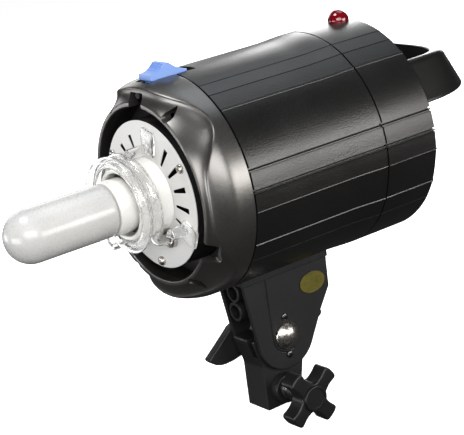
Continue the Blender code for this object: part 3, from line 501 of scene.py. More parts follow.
def bezel_section(degrees):
    """Radial section: full at the top, bottom and sides, and scooped back between them."""
    a = math.radians(degrees)
    fold = math.degrees(math.atan2(abs(math.sin(a)), abs(math.cos(a))))
    middle = 43  # of a scoop; it fades sooner towards the sides than towards the top and bottom
    scoop = math.exp(-(((fold - middle) / (20 if fold > middle else 16.5)) ** 2))
    ridge = 24.8 - 15.3 * scoop
    taper = (14.3 + 26 * math.cos(a) ** 2) / 1000

    def outer(depth):
        return HEAD_R - taper * max(0.0, depth - 10) ** 2

    section = [(HEAD_R - 0.5, 0.3), (HEAD_R - 0.12, 0.45), (HEAD_R, 0.9)]
    last = ridge - 2.4
    section += [(outer(d), d) for d in (0.9 + (last - 0.9) * i / 8 for i in range(1, 9))]
    rim = (56.3, BEZEL_DEPTH)
    peak = (outer(ridge), ridge)
    face = []
    for i in range(1, 10):
        t = i / 10
        sag = (1.0 + 1.8 * scoop) * math.sin(math.pi * t) ** 0.8
        face.append((peak[0] + (rim[0] - peak[0]) * t, peak[1] + (rim[1] - peak[1]) * t - sag))
    section += fillet(section[-1], peak, face[1], 1.6, 5)
    section += face[1:]
    section += fillet(face[-1], rim, (MOUTH_R, BEZEL_DEPTH), 0.8, 3)
    section += fillet(rim, (MOUTH_R, BEZEL_DEPTH), (MOUTH_R, 20), 0.7, 4)
    section += [(MOUTH_R, 20), (57, 20), (57, 3), (50, 3), (50, 0.3)]
    return [polar(r, degrees, d) for r, d in section]


def slider_channel():
    return block("channel", (-7.3, -59.5, AXIS + 65.5), (7.3, -25.5, AXIS + 74), 0.6)


def screw_well(angle):
    """Cutters for a round well, and for its mouth, which is drawn out to a tip like a tear."""
    well = circle(WELL_R, (BEZEL_SCREW_R, 0), 28)
    tip = [(60.2, -2.1), (62.6, -0.95), (64.4, 0.0), (62.6, 0.95), (60.2, 2.1)]
    tear = [p for p in well if p[0] <= 60.0]
    tear.sort(key=lambda p: math.atan2(p[1], p[0] - BEZEL_SCREW_R) % (2 * math.pi))
    cutters = []
    for name, outline, low in (("well", well, 2.4), ("drop", tear + tip, 13)):
        cutter = slab(name, [outline], low, 34, FRONT, HEAD, 0.01)
        cutter.data.transform(about_head(angle))
        cutters.append(cutter)
    return cutters


def front_bezel():
    bezel = loft("bezel", [bezel_section(i * 1.5) for i in range(240)], True, 40)
    cutters = []
    for angle in SLOT_ANGLES:
        low, high = (49.5, -69, AXIS - 6.5), (62, -57.5, AXIS + 6.5)
        cutters.append(block("slot", low, high, 0.9, about_head(angle)))
    for angle in BEZEL_SCREW_ANGLES:
        cutters += screw_well(angle)
    cutters.append(slider_channel())
    cutters.append(block("stem_slot", (-2.9, -55.9, AXIS + 56.7), (2.9, -42, AXIS + 67)))
    cutters.append(slab("pin_bore", [circle(2.4, (0, 60), 24)], 14, 22, FRONT, HEAD, 0.01))
    carve(bezel, cutters, smooth=38)
    finish_piece(bezel, "bezel", "head", ["front_bezel"])


def release_slider():
    """Ribbed finger hump on a flat base with a long tail."""
    z = AXIS + 69.9
    base = [(-57.2, -2.2), (-56.5, -3.0), (-36, -3.4), (-31.4, -3.4), (-31.2, -1.2), (-33, -0.5)]
    hump = [(-35.5, 0.2), (-38.5, 1.6), (-41, 3.6), (-43.2, 5.3), (-44.6, 5.7), (-46, 5.5)]
    nose = [(-47.4, 4.6), (-49.4, 2.8), (-51.6, 1.6), (-54, 1.0), (-57.0, 0.8)]
    outline = [(y, z + h) for y, h in base + hump + nose]
    slider = slab("release_slider", [outline], -6.5, 6.5, RIGHT, edge=0.5, smooth=50)
    ribs = []
    for k in range(5):
        t = k / 4
        y, h = -46.6 - 4.2 * t, z + 5.2 - 3.5 * t
        ribs.append(slab("rib", [circle(0.45, (y, h), 12)], -5.4, 5.4, RIGHT, edge=0.1))
    stem = block("stem", (-2.5, -55.5, AXIS + 57.3), (2.5, -51, AXIS + 66.8), 0.3)
    carve(slider, ribs + [stem], "UNION", 50)
    finish_piece(slider, "release_blue", "release", ["bayonet_release"])


def return_spring():
    """Coil spring behind the latch pin. It is drawn at one length and is not made to shorten as the slider
    goes back.
    """
    start, end, turns, height = -50.3, -42.6, 6, AXIS + 60
    points = []
    for i in range(turns * 14 + 1):
        t = i / (turns * 14)
        a = 2 * math.pi * turns * t
        points.append(Vector((1.7 * math.cos(a), start + (end - start) * t, height + 1.7 * math.sin(a))) * MM)
    spring = finish_piece(sweep("return_spring", points, 0.22, 8), "zinc_steel", "head", ["release_spring"])
    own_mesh(spring)


# ---------------------------------------------------------------- reflector plate and light sources


def wedge(angle, inner, outer, narrow, wide):
    """A radial slot that widens outwards, as (x, z) points."""
    a = math.radians(angle)
    along, across = Vector((math.cos(a), math.sin(a))), Vector((-math.sin(a), math.cos(a)))
    corners = [
        along * inner + across * narrow / 2,
        along * inner - across * narrow / 2,
        along * outer - across * wide / 2,
        along * outer + across * wide / 2,
    ]
    return rounded([tuple(c) for c in corners], 0.5, 2)


def reflector_plate():
    loops = [circle(45.4, steps=128), circle(19.2, steps=64)]
    loops += [wedge(angle, 24.6, 37.8, 1.7, 3.7) for angle in VENT_ANGLES]
    loops += [circle(4.3, (side * TUBE_LEG[0], TUBE_LEG[1]), 28) for side in (-1, 1)]
    for angle in PLATE_SCREW_ANGLES:
        a = math.radians(angle)
        loops.append(circle(1.6, (PLATE_SCREW_R * math.cos(a), PLATE_SCREW_R * math.sin(a)), 16))
    disc = slab("reflector_disc", loops, PLATE_DEPTH - 0.6, PLATE_DEPTH, FRONT, HEAD, 0.12)
    finish_piece(disc, "reflector_white", "head", ["reflector_plate"])


def cross_screw(name, head_r, head_h, at, axes, mat, node, shank=1.2, length=4, turn=0.4):
    """Domed head with a cross recess."""
    rises = [math.radians(15 * i) for i in range(6)]
    arc = [(head_r * math.cos(t), head_h * (0.35 + 0.65 * math.sin(t))) for t in rises]
    profile = [(0, head_h)] + arc[::-1] + [(head_r, 0), (shank, 0), (shank, -length), (0, -length)]
    screw = lathe(name, profile, at, axes, 40, 40)
    cutters = []
    axis, u, v = axes
    for extra in (0, math.pi / 2):
        a = turn + extra
        along = u * math.cos(a) + v * math.sin(a)
        across = axis.cross(along)
        place = Matrix((along, across, axis)).transposed().to_4x4()
        place.translation = Vector(at) + axis * head_h * MM
        reach = head_r * 0.6
        cutters.append(block("cross", (-reach, -0.28, -head_h * 0.7), (reach, 0.28, 1), 0, place))
    carve(screw, cutters, smooth=40)
    finish_piece(screw, mat, "head", [node])


def screws():
    for i, angle in enumerate(PLATE_SCREW_ANGLES):
        at = polar(PLATE_SCREW_R, angle, PLATE_DEPTH + 0.3)
        node = f"plate_screw_{i + 1}"
        cross_screw(f"panel_screw_{i + 1}", 2.9, 1.9, at, FRONT, "chrome", node, turn=0.3 + i)
    for i, angle in enumerate(BEZEL_SCREW_ANGLES):
        at = polar(BEZEL_SCREW_R, angle, 2.7)
        node = f"bezel_screw_{i + 1}"
        cross_screw(f"front_screw_{i + 1}", 2.6, 2.0, at, FRONT, "dark_screw", node, 1.4, 9, i)


def shroud_and_lamp():
    profile = [(22.9, 26.0), (22.6, 29), (22.2, 36), (21.9, 44), (21.8, 46.6), (21.5, 47.5)]
    profile += [(20.9, 48.1), (20.2, 48.2), (19.5, 47.9), (19.1, 47.2), (19, 46), (19, 26.0)]
    finish_piece(lathe("lamp_shroud", profile, HEAD, FRONT, 96), "shroud_white", "head", ["socket_shroud"])
    collar = [(0, 13), (5, 13), (7, 15.5), (13.2, 18)]
    for k in range(8):  # the screw base's thread
        collar += [(13.2, 19 + k * 2.8), (12.7, 20 + k * 2.8), (13.2, 21 + k * 2.8)]
    collar += [(13.2, 43), (15.4, 44.2), (16.2, 45.2), (16.6, 46.4)]
    collar += [(16.6, 55.8), (16.4, 56.8), (15.9, 57.5), (0, 57.7)]
    base = lathe("lamp_collar", collar, HEAD, FRONT, 80)
    finish_piece(base, "shroud_white", "head", ["lamp_base"])
    tip, r = 124.7, 16.0
    dome = [(r * math.cos(a), tip - r + r * math.sin(a)) for a in (math.pi / 2 * i / 14 for i in range(14))]
    bulb = [(0, 58), (14.2, 58), (15.2, 58.5), (15.8, 59.6), (r, 61.5), (r, 80), (r, 95)] + dome + [(0, tip)]
    tube = lathe("modelling_tube", bulb, HEAD, FRONT, 96, 60)
    finish_piece(tube, "frosted_glass", "head", ["modelling_lamp"])


def coil_points():
    """The path of the flash tube: a leg, two turns towards the plate, a leg."""
    front_leg, rear_leg = -121, -59
    turn_depth, pitch, coil_r = 52.6, 7.3, 26.6
    leg_r = math.hypot(*TUBE_LEG)
    bend_r = coil_r + 9
    end = PLATE_DEPTH + 2.5
    keys = [(leg_r, front_leg, end), (leg_r + 1, front_leg, 31), (bend_r, front_leg, 40)]
    keys += [(bend_r, front_leg, 49), (coil_r + 5, front_leg, 53)]
    around = 360 + (front_leg + 360 - rear_leg)
    drop = pitch * around / 360
    for i in range(61):
        t = i / 60
        keys.append((coil_r, front_leg - 14 - (around - 28) * t, turn_depth - drop * t))
    last = turn_depth - drop
    keys += [(coil_r + 1, rear_leg + 4, last - 2.5), (leg_r, rear_leg, 31), (leg_r, rear_leg, end)]
    points = [polar(r, a, d) for r, a, d in keys]
    for _ in range(2):  # cut the corners twice
        smooth = [points[0]]
        for p, q in zip(points, points[1:]):
            smooth += [p.lerp(q, 0.25), p.lerp(q, 0.75)]
        points = smooth + [points[-1]]
    return points


def flash_tube():
    """Glass tube with its bore, an electrode in each leg, and the trigger wire wound round it."""
    path = coil_points()
    tube = sweep("flash_tube_glass", path, 3.35, 24)
    bore = sweep("bore", path, 2.45, 20)
    hollow = bmesh.new()
    hollow.from_mesh(bore.data)
    bmesh.ops.reverse_faces(hollow, faces=hollow.faces)
    hollow.to_mesh(bore.data)
    hollow.free()
    glass = bmesh.new()
    glass.from_mesh(tube.data)
    glass.from_mesh(bore.data)
    glass.to_mesh(tube.data)
    glass.free()
    bpy.data.objects.remove(bore)
    tube.data.shade_smooth()
    finish_piece(tube, "clear_glass", "head", ["flash_tube"])
    for i, part in enumerate((path[2:14], path[-14:-2])):
        rod = sweep(f"electrode_{i + 1}", part, 1.0, 10)
        finish_piece(rod, "zinc_steel", "head")
    wire = []
    for i in range(int(len(path) * 0.10), int(len(path) * 0.90)):
        p, q = path[i], path[i + 1]
        along = (q - p).normalized()
        side = along.cross(Vector((0, 1, 0))).normalized()
        other_side = along.cross(side)
        a = i * 0.55
        wire.append(p + (side * math.cos(a) + other_side * math.sin(a)) * 3.5 * MM)
    finish_piece(sweep("trigger_wire", wire, 0.16, 6), "zinc_steel", "head")


def tube_feet():
    """Clear moulded feet with posts that reach the tube, and a ferrule round each leg."""
    low = PLATE_DEPTH + 0.3
    for i, (angle, radius, reach) in enumerate(((78, 30.5, 41.5), (-28, 36.0, 36.5))):
        outline = rounded([(-3.5, -6.5), (11.5, -6.5), (11.5, 6.5), (-3.5, 6.5)], 2.4)
        foot = slab("foot", [[(radius + a, b) for a, b in outline]], low, low + 1.4, FRONT, HEAD, 0.3)
        post = slab("post", [circle(3.4, (radius - 0.6, 0), 32)], low + 0.4, reach, FRONT, HEAD, 0.8)
        peg = slab("peg", [circle(1.9, (radius - 1.2, 0), 20)], reach - 1, reach + 1.6, FRONT, HEAD, 0.5)
        carve(foot, [post, peg], "UNION", 40)
        foot.name = f"tube_foot_{i + 1}"
        foot.data.transform(about_head(angle))
        finish_piece(foot, "clear_plastic", "head", [f"tube_clip_{i + 1}"])
    profile = [(5.6, low), (5.6, low + 2.2), (5.3, low + 2.8), (4.8, low + 3), (4.3, low + 2.7), (4.3, low)]
    for i, side in enumerate((-1, 1)):
        at = (side * TUBE_LEG[0] * MM, SEAM_Y, (AXIS + TUBE_LEG[1]) * MM)
        ferrule = lathe(f"ferrule_{i + 1}", profile, at, FRONT, 48)
        finish_piece(ferrule, "chrome", "head", [f"tube_ferrule_{i + 1}"])


# ---------------------------------------------------------------- housing

# Cross-sections of the lines along the housing, as (distance round the skin, height above it)
THIN = [(-0.4, 0), (-0.3, -0.3), (-0.05, -0.3), (0.05, 0.1), (0.25, 0.12), (0.4, 0)]
LIGHT = [(-1.0, 0), (-0.9, -0.5), (-0.5, -0.5), (-0.4, 0.2), (-0.2, 0.45), (0.15, 0.5), (0.5, 0.36)]
LIGHT += [(0.85, 0)]
DARK = [(-1.9, 0), (-1.85, -1.2), (-1.3, -1.2), (-1.2, 0.0), (-0.8, 0.22), (-0.45, 0.1), (-0.35, -2.1)]
DARK += [(0.6, -2.1), (0.7, 0)]
RIDGE = [(-0.9, 0), (-0.7, 0.22), (-0.4, 0.36), (0.0, 0.4), (0.3, 0.3), (0.4, -0.3), (0.65, -0.3), (0.75, 0)]
LINES = [(65.5, THIN), (57, THIN), (46.5, RIDGE), (14.3, DARK), (3.4, DARK)]
LINES += [(-7.7, LIGHT), (-26.5, LIGHT), (-37, THIN)]
FLAT_PANELS = [(46.5, 57), (57, 65.5), (3.4, 14.3), (-7.7, 3.4), (-26.5, -7.7), (-37, -26.5)]


def housing_radius(degrees):
    """Radius of the housing's plain skin: some panels between the lines are nearly flat."""
    a = degrees if degrees <= 90 else 180 - degrees
    for low, high in FLAT_PANELS:
        if low < a < high:
            half = math.radians((high - low) / 2)
            flat = HEAD_R * math.cos(half) / math.cos(math.radians(a - (low + high) / 2))
            return HEAD_R + (flat - HEAD_R) * 0.5
    return HEAD_R


def housing_outline():
    """(angle, radius) once round from -90, denser at the lines."""
    points = []
    for side in (1, -1):
        for centre, groove in LINES:
            for offset, dr in groove:
                a = centre + math.degrees(offset / HEAD_R)
                points.append((a if side > 0 else 180 - a, HEAD_R + dr))
    spans = []
    for side in (1, -1):
        for centre, groove in LINES:
            low = centre + math.degrees(groove[0][0] / HEAD_R) - 0.15
            high = centre + math.degrees(groove[-1][0] / HEAD_R) + 0.15
            spans.append((low, high) if side > 0 else (180 - high, 180 - low))
    for i in range(240):
        a = -90 + 1.5 * i
        if not any(low < a < high for low, high in spans):
            points.append((a, housing_radius(a)))
    return sorted(points)


def smoothstep(t):
    t = min(1.0, max(0.0, t))
    return t * t * (3 - 2 * t)


def housing_ring(name, span, inner, rear_round):
    """A length of the housing: its skin, which swells a little at mid length, then its inside."""
    outline = housing_outline()
    front, rear = span
    steps = [(front, -0.2), (front + 0.06, -0.05), (front + 0.2, 0)]
    if rear_round:
        steps += [(rear - 1.2, 0), (rear - 0.6, -0.15), (rear - 0.15, -0.6), (rear, -1.2)]
    else:
        steps += [(y, 0) for y in range(32, 60, 3)]
        steps += [(rear - 0.2, 0), (rear - 0.06, -0.05), (rear, -0.2)]
    seam = SEAM_Y / MM
    loops = []
    for y, dr in steps:
        swell = dr + 1.1 * smoothstep((y - 34) / 27)
        loops.append([polar(r + swell, a, seam - y) for a, r in outline])
    for y, r in inner:
        loops.append([polar(r, a, seam - y) for a, _ in outline])
    return loft(name, loops, True, 24)


def housing():
    front, rear = SHELL_Y
    shell = housing_ring("main_shell", SHELL_Y, [(rear, INSIDE_R), (front, INSIDE_R)], False)
    carve(shell, [slider_channel()], smooth=24)
    finish_piece(shell, "body_black", "head", ["body_shell"])
    front, rear = CAP_Y
    ledge = [(95.7, INSIDE_R), (95.7, 62.5), (94, 62.5), (94, INSIDE_R)]
    inner = [(rear, INSIDE_R)] + ledge + [(front, INSIDE_R)]
    cap = housing_ring("rear_shell", CAP_Y, inner, True)
    finish_piece(cap, "body_black", "head", ["rear_cap"])


def bow(half_width, reach, power, t):
    """Point (x, y) of a squarish arch behind the cap, from its right end at 0 to its left end at 1."""
    a = math.pi * t
    c, s = math.cos(a), math.sin(a)
    return half_width * math.copysign(abs(c) ** (2 / power), c), 101.0 + reach * abs(s) ** (2 / power)


def carry_handle():
    steps = 96
    loops = []
    for i in range(steps + 1):
        t = 0.35 * (0.5 - 0.5 * math.cos(math.pi * i / steps)) + 0.65 * i / steps  # closer at the ends
        corners = [
            Vector((*bow(65.3, 62, 2.3, t), 19)),
            Vector((*bow(51.3, 42, 4, t), 45)),
            Vector((*bow(47.5, 32, 4, t), 45)),
            Vector((*bow(59.5, 50, 2.6, t), 19)),
        ]
        loop = []
        for k, corner in enumerate(corners):
            loop += fillet(corners[k - 1], corner, corners[(k + 1) % 4], (2.6, 4.2, 2.0, 1.6)[k], 6)
        loops.append([Vector((x, y, AXIS + z)) * MM for x, y, z in loop])
    handle = loft("handle_bow", loops, False, 45)
    finish_piece(handle, "body_black", "head", ["carry_handle"])


def sensor_dome():
    r, centre = 6.7, 69.8
    base = HEAD_R + 0.3
    rises = [math.radians(-12 + 102 * i / 16) for i in range(16)]
    arc = [(r * math.cos(a), centre + r * math.sin(a)) for a in rises]
    profile = [(0, base), (6.2, base), (6.3, base + 0.1)] + arc + [(0, centre + r)]
    dome = lathe("sensor_dome", profile, (0, 92 * MM, AXIS_Z), UP, 64, 50)
    finish_piece(dome, "red_window", "head", ["slave_sensor_dome"])


# ---------------------------------------------------------------- bracket


def yoke_outline():
    """Side plate: round under the pivot, with a line that touches the round up to the saddle."""
    reach_y, reach_z, arc_r = 44.9, 66.8, 22.0
    py, pz = PIVOT_YZ
    away = math.hypot(reach_y - py, reach_z - pz)
    end = math.atan2(reach_z - pz, reach_y - py) - math.acos(arc_r / away) + 2 * math.pi
    turns = [math.pi + (end - math.pi) * i / 36 for i in range(37)]
    arc = [(py + arc_r * math.cos(a), pz + arc_r * math.sin(a)) for a in turns]
    slope = [(33.6, 49.0), (35.6, 50.0), (36.2, 51.6), (35.8, 53.2)]
    return [(-22, 94)] + arc + slope + [(reach_y, reach_z), (46, 94)]


def tilt_yoke():
    outline = yoke_outline()
    yoke = slab("yoke", [outline], PLATE_X[0], PLATE_X[1], RIGHT, edge=0.55)
    left = slab("left", [outline], -PLATE_X[1], -PLATE_X[0], RIGHT, edge=0.55)
    saddle = block("saddle", (-15.3, -22, 86.6), (15.3, 46, 95.5), 0.6)
    web = block("web", (-1.6, -20, 63.7), (1.6, 40, 88), 0.2)
    brace = block("brace", (-10.9, -16, 83.4), (10.9, 38, 86.5), 0.2)
    sleeves = [slab("sleeve", [circle(6.3, (0, z), 48)], -40, 20, FRONT, edge=0.35) for z in UMBRELLA_Z]
    carve(yoke, [left, saddle, web, brace] + sleeves, "UNION")
    cutters = [slab("bore", [circle(4.5, (0, z), 48)], -60, 40, FRONT, edge=0.01) for z in UMBRELLA_Z]
    cutters.append(lathe("round", [(0, -80), (68.3, -80), (68.3, 50), (0, 50)], (0, 0, AXIS_Z), FRONT, 240))
    cutters.append(slab("hole", [circle(4.3, PIVOT_YZ, 32)], -30, 30, RIGHT, edge=0.01))
    for side in (-1, 1):
        centre = (PIVOT_YZ[0], PIVOT_YZ[1] + side * CAP_SCREW_GAP)
        cutters.append(slab("cap_hole", [circle(1.4, centre, 16)], 8, 20, RIGHT, edge=0.01))
    cutters.append(groove_cutter())
    carve(yoke, cutters, smooth=38)
    finish_piece(yoke, "bracket_black", "head", ["tilt_yoke"])


def groove_cutter():
    """A sunk line down the side plate that hooks round under the pivot."""
    x, reach = PLATE_X[1], 11.1
    left = PIVOT_YZ[0] - reach
    path = [Vector((x, left, 88))]
    path += [Vector((x, left, 86 - 4 * i)) for i in range(10)]
    for i in range(1, 22):
        a = math.radians(180 + 5.5 * i)
        path.append(Vector((x, PIVOT_YZ[0] + reach * math.cos(a), PIVOT_YZ[1] + reach * math.sin(a))))
    return sweep("groove", [p * MM for p in path], 0.85, 10)


def pivot_parts():
    """Chrome dome over the pivot, its two screws, and the blank oval label with its rim."""
    radius, height, low = 9.0, 4.4, 14.3
    edge = low + 0.8
    ball = (radius**2 + height**2) / (2 * height)
    top = math.asin(radius / ball)
    rises = [top * i / 14 for i in range(1, 15)]
    dome = [(ball * math.sin(a), edge + ball * math.cos(a) - ball * math.cos(top)) for a in rises]
    profile = [(0, edge + height)] + dome + [(radius, low + 0.2), (radius - 0.2, low), (0, low)]
    finish_piece(lathe("pivot_dome", profile, PIVOT, RIGHT, 80, 50), "chrome", "head", ["pivot_cap"])
    for i, side in enumerate((-1, 1)):
        at = (low * MM, PIVOT[1], PIVOT[2] + side * CAP_SCREW_GAP * MM)
        cross_screw(f"cover_screw_{i + 1}", 2.3, 1.3, at, RIGHT, "dark_screw", f"cap_screw_{i + 1}", 1, 2.4)
    outside = oval(10, 6.8, LABEL_YZ, 72)
    label = slab("oval_label", [outside], 14.3, 14.6, RIGHT, edge=0.08)
    finish_piece(label, "sticker_gold", "head", ["inspection_sticker"])
    rim = slab("label_rim", [outside, oval(9.2, 6.1, LABEL_YZ, 72)], 14.5, 14.68, RIGHT, edge=0.05)
    finish_piece(rim, "sticker_gold", "head")


def tilt_lever():
    blade = [(2.5, 56), (-8, 55.6), (-15.5, 52.4), (-22, 47.2), (-29, 41.7), (-35.3, 36.9), (-35.2, 35.4)]
    blade += [(-33, 33.4), (-30, 31.4), (-26.5, 30.3), (-23.3, 29.9), (-17.4, 30.1), (-11, 31.3), (-5, 33)]
    blade += [(1, 35.8)]
    hollow = [(-3, 52.5), (-11, 51.4), (-18, 47), (-25, 41.6), (-30, 37.4)]
    hollow += [(-26, 34), (-18, 33.4), (-8, 35.4), (-3, 38)]
    lever = slab("clamp_lever", [blade], -20.3, -14.3, RIGHT, edge=0.9, smooth=40)
    hub = slab("hub", [circle(10.5, PIVOT_YZ, 64)], -20.3, -14.3, RIGHT, edge=0.9)
    carve(lever, [hub], "UNION", 40)
    recess = slab("recess", [rounded(hollow, 1.5, 3)], -22, -19.5, RIGHT, edge=0.3)
    socket = slab("socket", [circle(4.3, PIVOT_YZ, 32)], -17.8, -12, RIGHT, edge=0.01)
    cap = slab("cap", [circle(4.6, PIVOT_YZ, 40)], -22, -19.9, RIGHT, edge=0.2)
    carve(lever, [recess, socket, cap], smooth=40)
    finish_piece(lever, "bracket_black", "lever", ["tilt_lever"])


def stand_adapter():
    outline = [(-13.5, 0), (-13.2, 14), (-12.8, 30), (-17.5, 46), (-17.5, 48.5)]
    outline += [(10, 48.5), (18.9, 40), (18.9, 25), (13.2, 0)]
    adapter = slab("adapter_block", [rounded(outline, 1.2, 3)], -10.4, 10.4, RIGHT, edge=0.6)
    cutters = []
    for low, high in ((-12, -4), (4, 12)):
        cutters.append(slab("pocket", [circle(11.5, PIVOT_YZ, 64)], low, high, RIGHT, edge=0.01))
    cutters.append(block("notch", (3.8, -22, 36.5), (9.0, -11.5, 52), 0.5))
    carve(adapter, cutters)
    knuckle = slab("knuckle", [circle(13.5, PIVOT_YZ, 72)], -4, 4, RIGHT, edge=0.3)
    boss = slab("boss", [circle(9.5, KNOB_YZ, 64)], 8, 17, RIGHT, edge=0.7)
    carve(adapter, [knuckle, boss], "UNION")
    cutters = [
        slab("socket", [circle(8.1, (0, 0), 64)], -10, 34, UP, edge=0.01),
        slab("bolt", [circle(4.3, PIVOT_YZ, 32)], -20, 20, RIGHT, edge=0.01),
        slab("bush", [circle(6.8, KNOB_YZ, 48)], 11, 20, RIGHT, edge=0.01),
        slab("screw", [circle(4.3, KNOB_YZ, 32)], 4, 20, RIGHT, edge=0.01),
    ]
    carve(adapter, cutters)
    finish_piece(adapter, "bracket_black", "adapter", ["stand_adapter"])


def star_outline():
    """Four blunt arms that flare towards their ends, with round hollows between, as (y, z)."""
    arm = [(6.4, 5.4), (13.0, 4.5), (19.8, 5.9), (20.8, 0), (19.8, -5.9), (13.0, -4.5)]
    y, z = KNOB_YZ
    points = []
    for k in range(4):
        a = math.radians(38 - 90 * k)
        c, s = math.cos(a), math.sin(a)
        points += [(y + along * c - across * s, z + along * s + across * c) for along, across in arm]
    return rounded(points, 3.0, 6)


def stand_knob():
    knob = slab("star_grip", [star_outline()], 31, 42.5, RIGHT, edge=1.3, smooth=45)
    hub = slab("hub", [circle(8.3, KNOB_YZ, 64)], 40, 44.5, RIGHT, edge=0.6)
    neck = slab("neck", [circle(6.4, KNOB_YZ, 48)], 21.5, 33, RIGHT, edge=0.5)
    carve(knob, [hub, neck], "UNION", 45)
    dish = slab("dish", [circle(6.6, KNOB_YZ, 48)], 43.7, 46, RIGHT, edge=0.2)
    bore = slab("bore", [circle(4.2, KNOB_YZ, 32)], 18, 40, RIGHT, edge=0.01)
    carve(knob, [dish, bore], smooth=45)
    finish_piece(knob, "control_black", "knob", ["stand_knob"])
    thread = []
    for k in range(23):
        thread += [(3.9, 10.6 + k * 1.25), (3.4, 11.2 + k * 1.25)]
    profile = [(0, 10.3)] + thread + [(3.9, 39.6), (0, 39.6)]
    finish_piece(lathe("knob_stud", profile, KNOB, RIGHT, 40), "zinc_steel", "knob", ["knob_screw"])


# ---------------------------------------------------------------- rear controls


def rear_details():
    """Dial with a knurled skirt and a pointer, and tick marks round it."""
    profile = [(0, 88), (3, 88), (3, 98.4), (11.3, 98.4), (11.5, 98.8), (11.2, 101), (10.3, 108.6)]
    profile += [(9.6, 109.7), (8.6, 110), (0, 109.6)]

    def knurl(a, r, d):
        return 1 - 0.035 * (0.5 + 0.5 * math.cos(28 * a)) if r > 9.9 and 99 < d < 109.5 else 1

    dial = lathe("power_dial", profile, (0, 0, DIAL_Z * MM), BACK, 168, 50, knurl)
    finish_piece(dial, "control_black", "dial", ["output_dial"])
    pointer = block("dial_pointer", (-0.5, 109.55, DIAL_Z + 3), (0.5, 110.0, DIAL_Z + 8.4), 0.1)
    finish_piece(pointer, "reflector_white", "dial")
    for i in range(11):
        a = math.radians(225 - 27 * i)
        reach = 17.4 if i % 5 == 0 else 16.4
        turn = Matrix.Translation((0, 0, DIAL_Z * MM)) @ Matrix.Rotation(-a, 4, "Y")
        mark = block(f"dial_mark_{i + 1}", (14, 97.9, -0.3), (reach, 98.12, 0.3), 0, turn)
        finish_piece(mark, "reflector_white", "head")


def stand_in_edges():
    """CAD nodes that stay: softened edges and their own materials, except the steel in the bayonet slots,
    which gets black paint as painted shade.
    """
    for name, node in frame["nodes"].items():
        slot = SLOT_OF[name]
        node.data.materials.clear()
        # the steel in the bayonet slots takes black paint here: painted shade
        node.data.materials.append(MATS[SHADE_PAINTED_STEEL.get(name, slot)])
        if not node.hide_render:
            node.data.shade_smooth()
            node.data.set_sharp_from_angle(angle=math.radians(32))
            soften(node, 0.25)


front_bezel()
release_slider()
return_spring()
reflector_plate()
screws()
shroud_and_lamp()
flash_tube()
tube_feet()
housing()
carry_handle()
sensor_dome()
tilt_yoke()
pivot_parts()
tilt_lever()
stand_adapter()
stand_knob()
rear_details()
stand_in_edges()


# ---------------------------------------------------------------- floor, light, camera

WHITE = (1, 1, 1, 1)
FLOOR_Z = -9 * MM
# name, offset from the head in metres, width, height, watts, colour
SOFTBOXES = [
    ("key_box", (1.0, -0.56, 0.45), 1.25, 0.6, 15, (1.0, 0.99, 0.975)),
    ("right_box", (0.82, 0.44, 0.12), 0.58, 0.3, 4.8, (1.0, 0.975, 0.94)),
    ("overhead_box", (-0.12, 0.5, 1.0), 0.7, 0.6, 2.2, (0.88, 0.94, 1.0)),
    ("top_box", (-0.1, -0.32, 0.95), 0.42, 0.36, 5.5, (1, 1, 1)),
    ("front_box", (0.0, -1.5, -0.06), 1.0, 0.45, 11, (1, 1, 1)),
    ("low_box", (-0.75, -0.65, -0.05), 0.5, 0.2, 1.4, (1, 1, 1)),
    ("left_box", (-1.1, 0.25, 0.35), 0.8, 0.5, 2.6, (1, 1, 1)),
    ("rear_box", (-0.85, 1.1, 0.35), 0.7, 0.7, 12, (1, 1, 1)),
]
WORLD_STRENGTH = 0.04
CAMERA_AT = (0.76678, -0.53238, 0.40587)
CAMERA_LENS = 122.1  # mm, on a sensor 36 mm wide
AZIMUTH, ELEVATION, ROLL = 55.811, 16.727, 8.884


def floor():
    bm = bmesh.new()
    bmesh.ops.create_grid(bm, x_segments=1, y_segments=1, size=6)
    sheet = new_object("floor", bm)
    sheet.location = (0, 0, FLOOR_Z)
    n = Nodes("pale_floor")
    n.set(Base_Color=(0.86, 0.86, 0.86, 1), Roughness=0.9, Emission_Color=WHITE, Emission_Strength=0.9)
    sheet.data.materials.append(n.mat)
    sheet.visible_glossy = False
    sheet.visible_diffuse = False


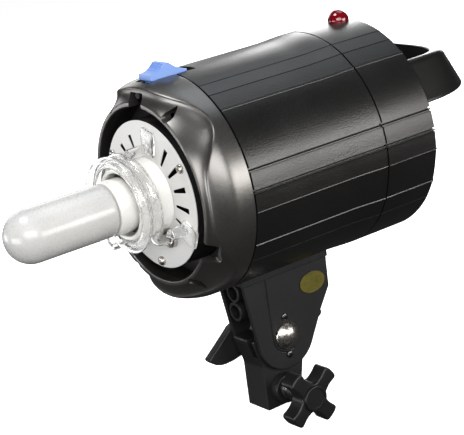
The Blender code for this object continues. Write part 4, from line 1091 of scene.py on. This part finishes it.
def backdrop():
    """Plain white dome behind everything; it gives the object no light."""
    bm = bmesh.new()
    bmesh.ops.create_uvsphere(bm, u_segments=48, v_segments=24, radius=5.5)
    dome = new_object("backdrop", bm, 60)
    n = Nodes("white_backdrop")
    n.set(Base_Color=(0, 0, 0, 1), Roughness=1.0, Emission_Color=WHITE, Emission_Strength=1.0)
    dome.data.materials.append(n.mat)
    dome.visible_glossy = False
    dome.visible_diffuse = False
    dome.visible_shadow = False


def lights():
    head = Vector((0, 0, AXIS_Z))
    for name, offset, width, height, power, colour in SOFTBOXES:
        light = bpy.data.lights.new(name, "AREA")
        light.shape = "RECTANGLE"
        light.size = width
        light.size_y = height
        light.energy = power
        light.color = colour
        lamp = bpy.data.objects.new(name, light)
        lamp.location = head + Vector(offset)
        lamp.rotation_euler = (-Vector(offset)).to_track_quat("-Z", "Y").to_euler()
        scene.collection.objects.link(lamp)
    world = bpy.data.worlds.new("studio")
    world.use_nodes = True
    background = world.node_tree.nodes["Background"]
    background.inputs["Color"].default_value = WHITE
    background.inputs["Strength"].default_value = WORLD_STRENGTH
    scene.world = world


def camera():
    """At the photograph's angle, and rolled as the photograph is."""
    azimuth, elevation, roll = (math.radians(a) for a in (AZIMUTH, ELEVATION, ROLL))
    back = Vector((math.sin(azimuth), -math.cos(azimuth), 0)) * math.cos(elevation)
    back.z = math.sin(elevation)
    right = Vector((math.cos(azimuth), math.sin(azimuth), 0))
    up = back.cross(right)
    rolled_right = right * math.cos(roll) - up * math.sin(roll)
    rolled_up = right * math.sin(roll) + up * math.cos(roll)
    data = bpy.data.cameras.new("camera")
    data.sensor_width = 36
    data.lens = CAMERA_LENS
    data.clip_start = 0.01
    eye = bpy.data.objects.new("camera", data)
    turn = Matrix((rolled_right, rolled_up, back)).transposed().to_4x4()
    eye.matrix_world = Matrix.Translation(CAMERA_AT) @ turn
    scene.collection.objects.link(eye)
    scene.camera = eye


floor()
backdrop()
lights()
camera()
scene.view_settings.view_transform = "Standard"
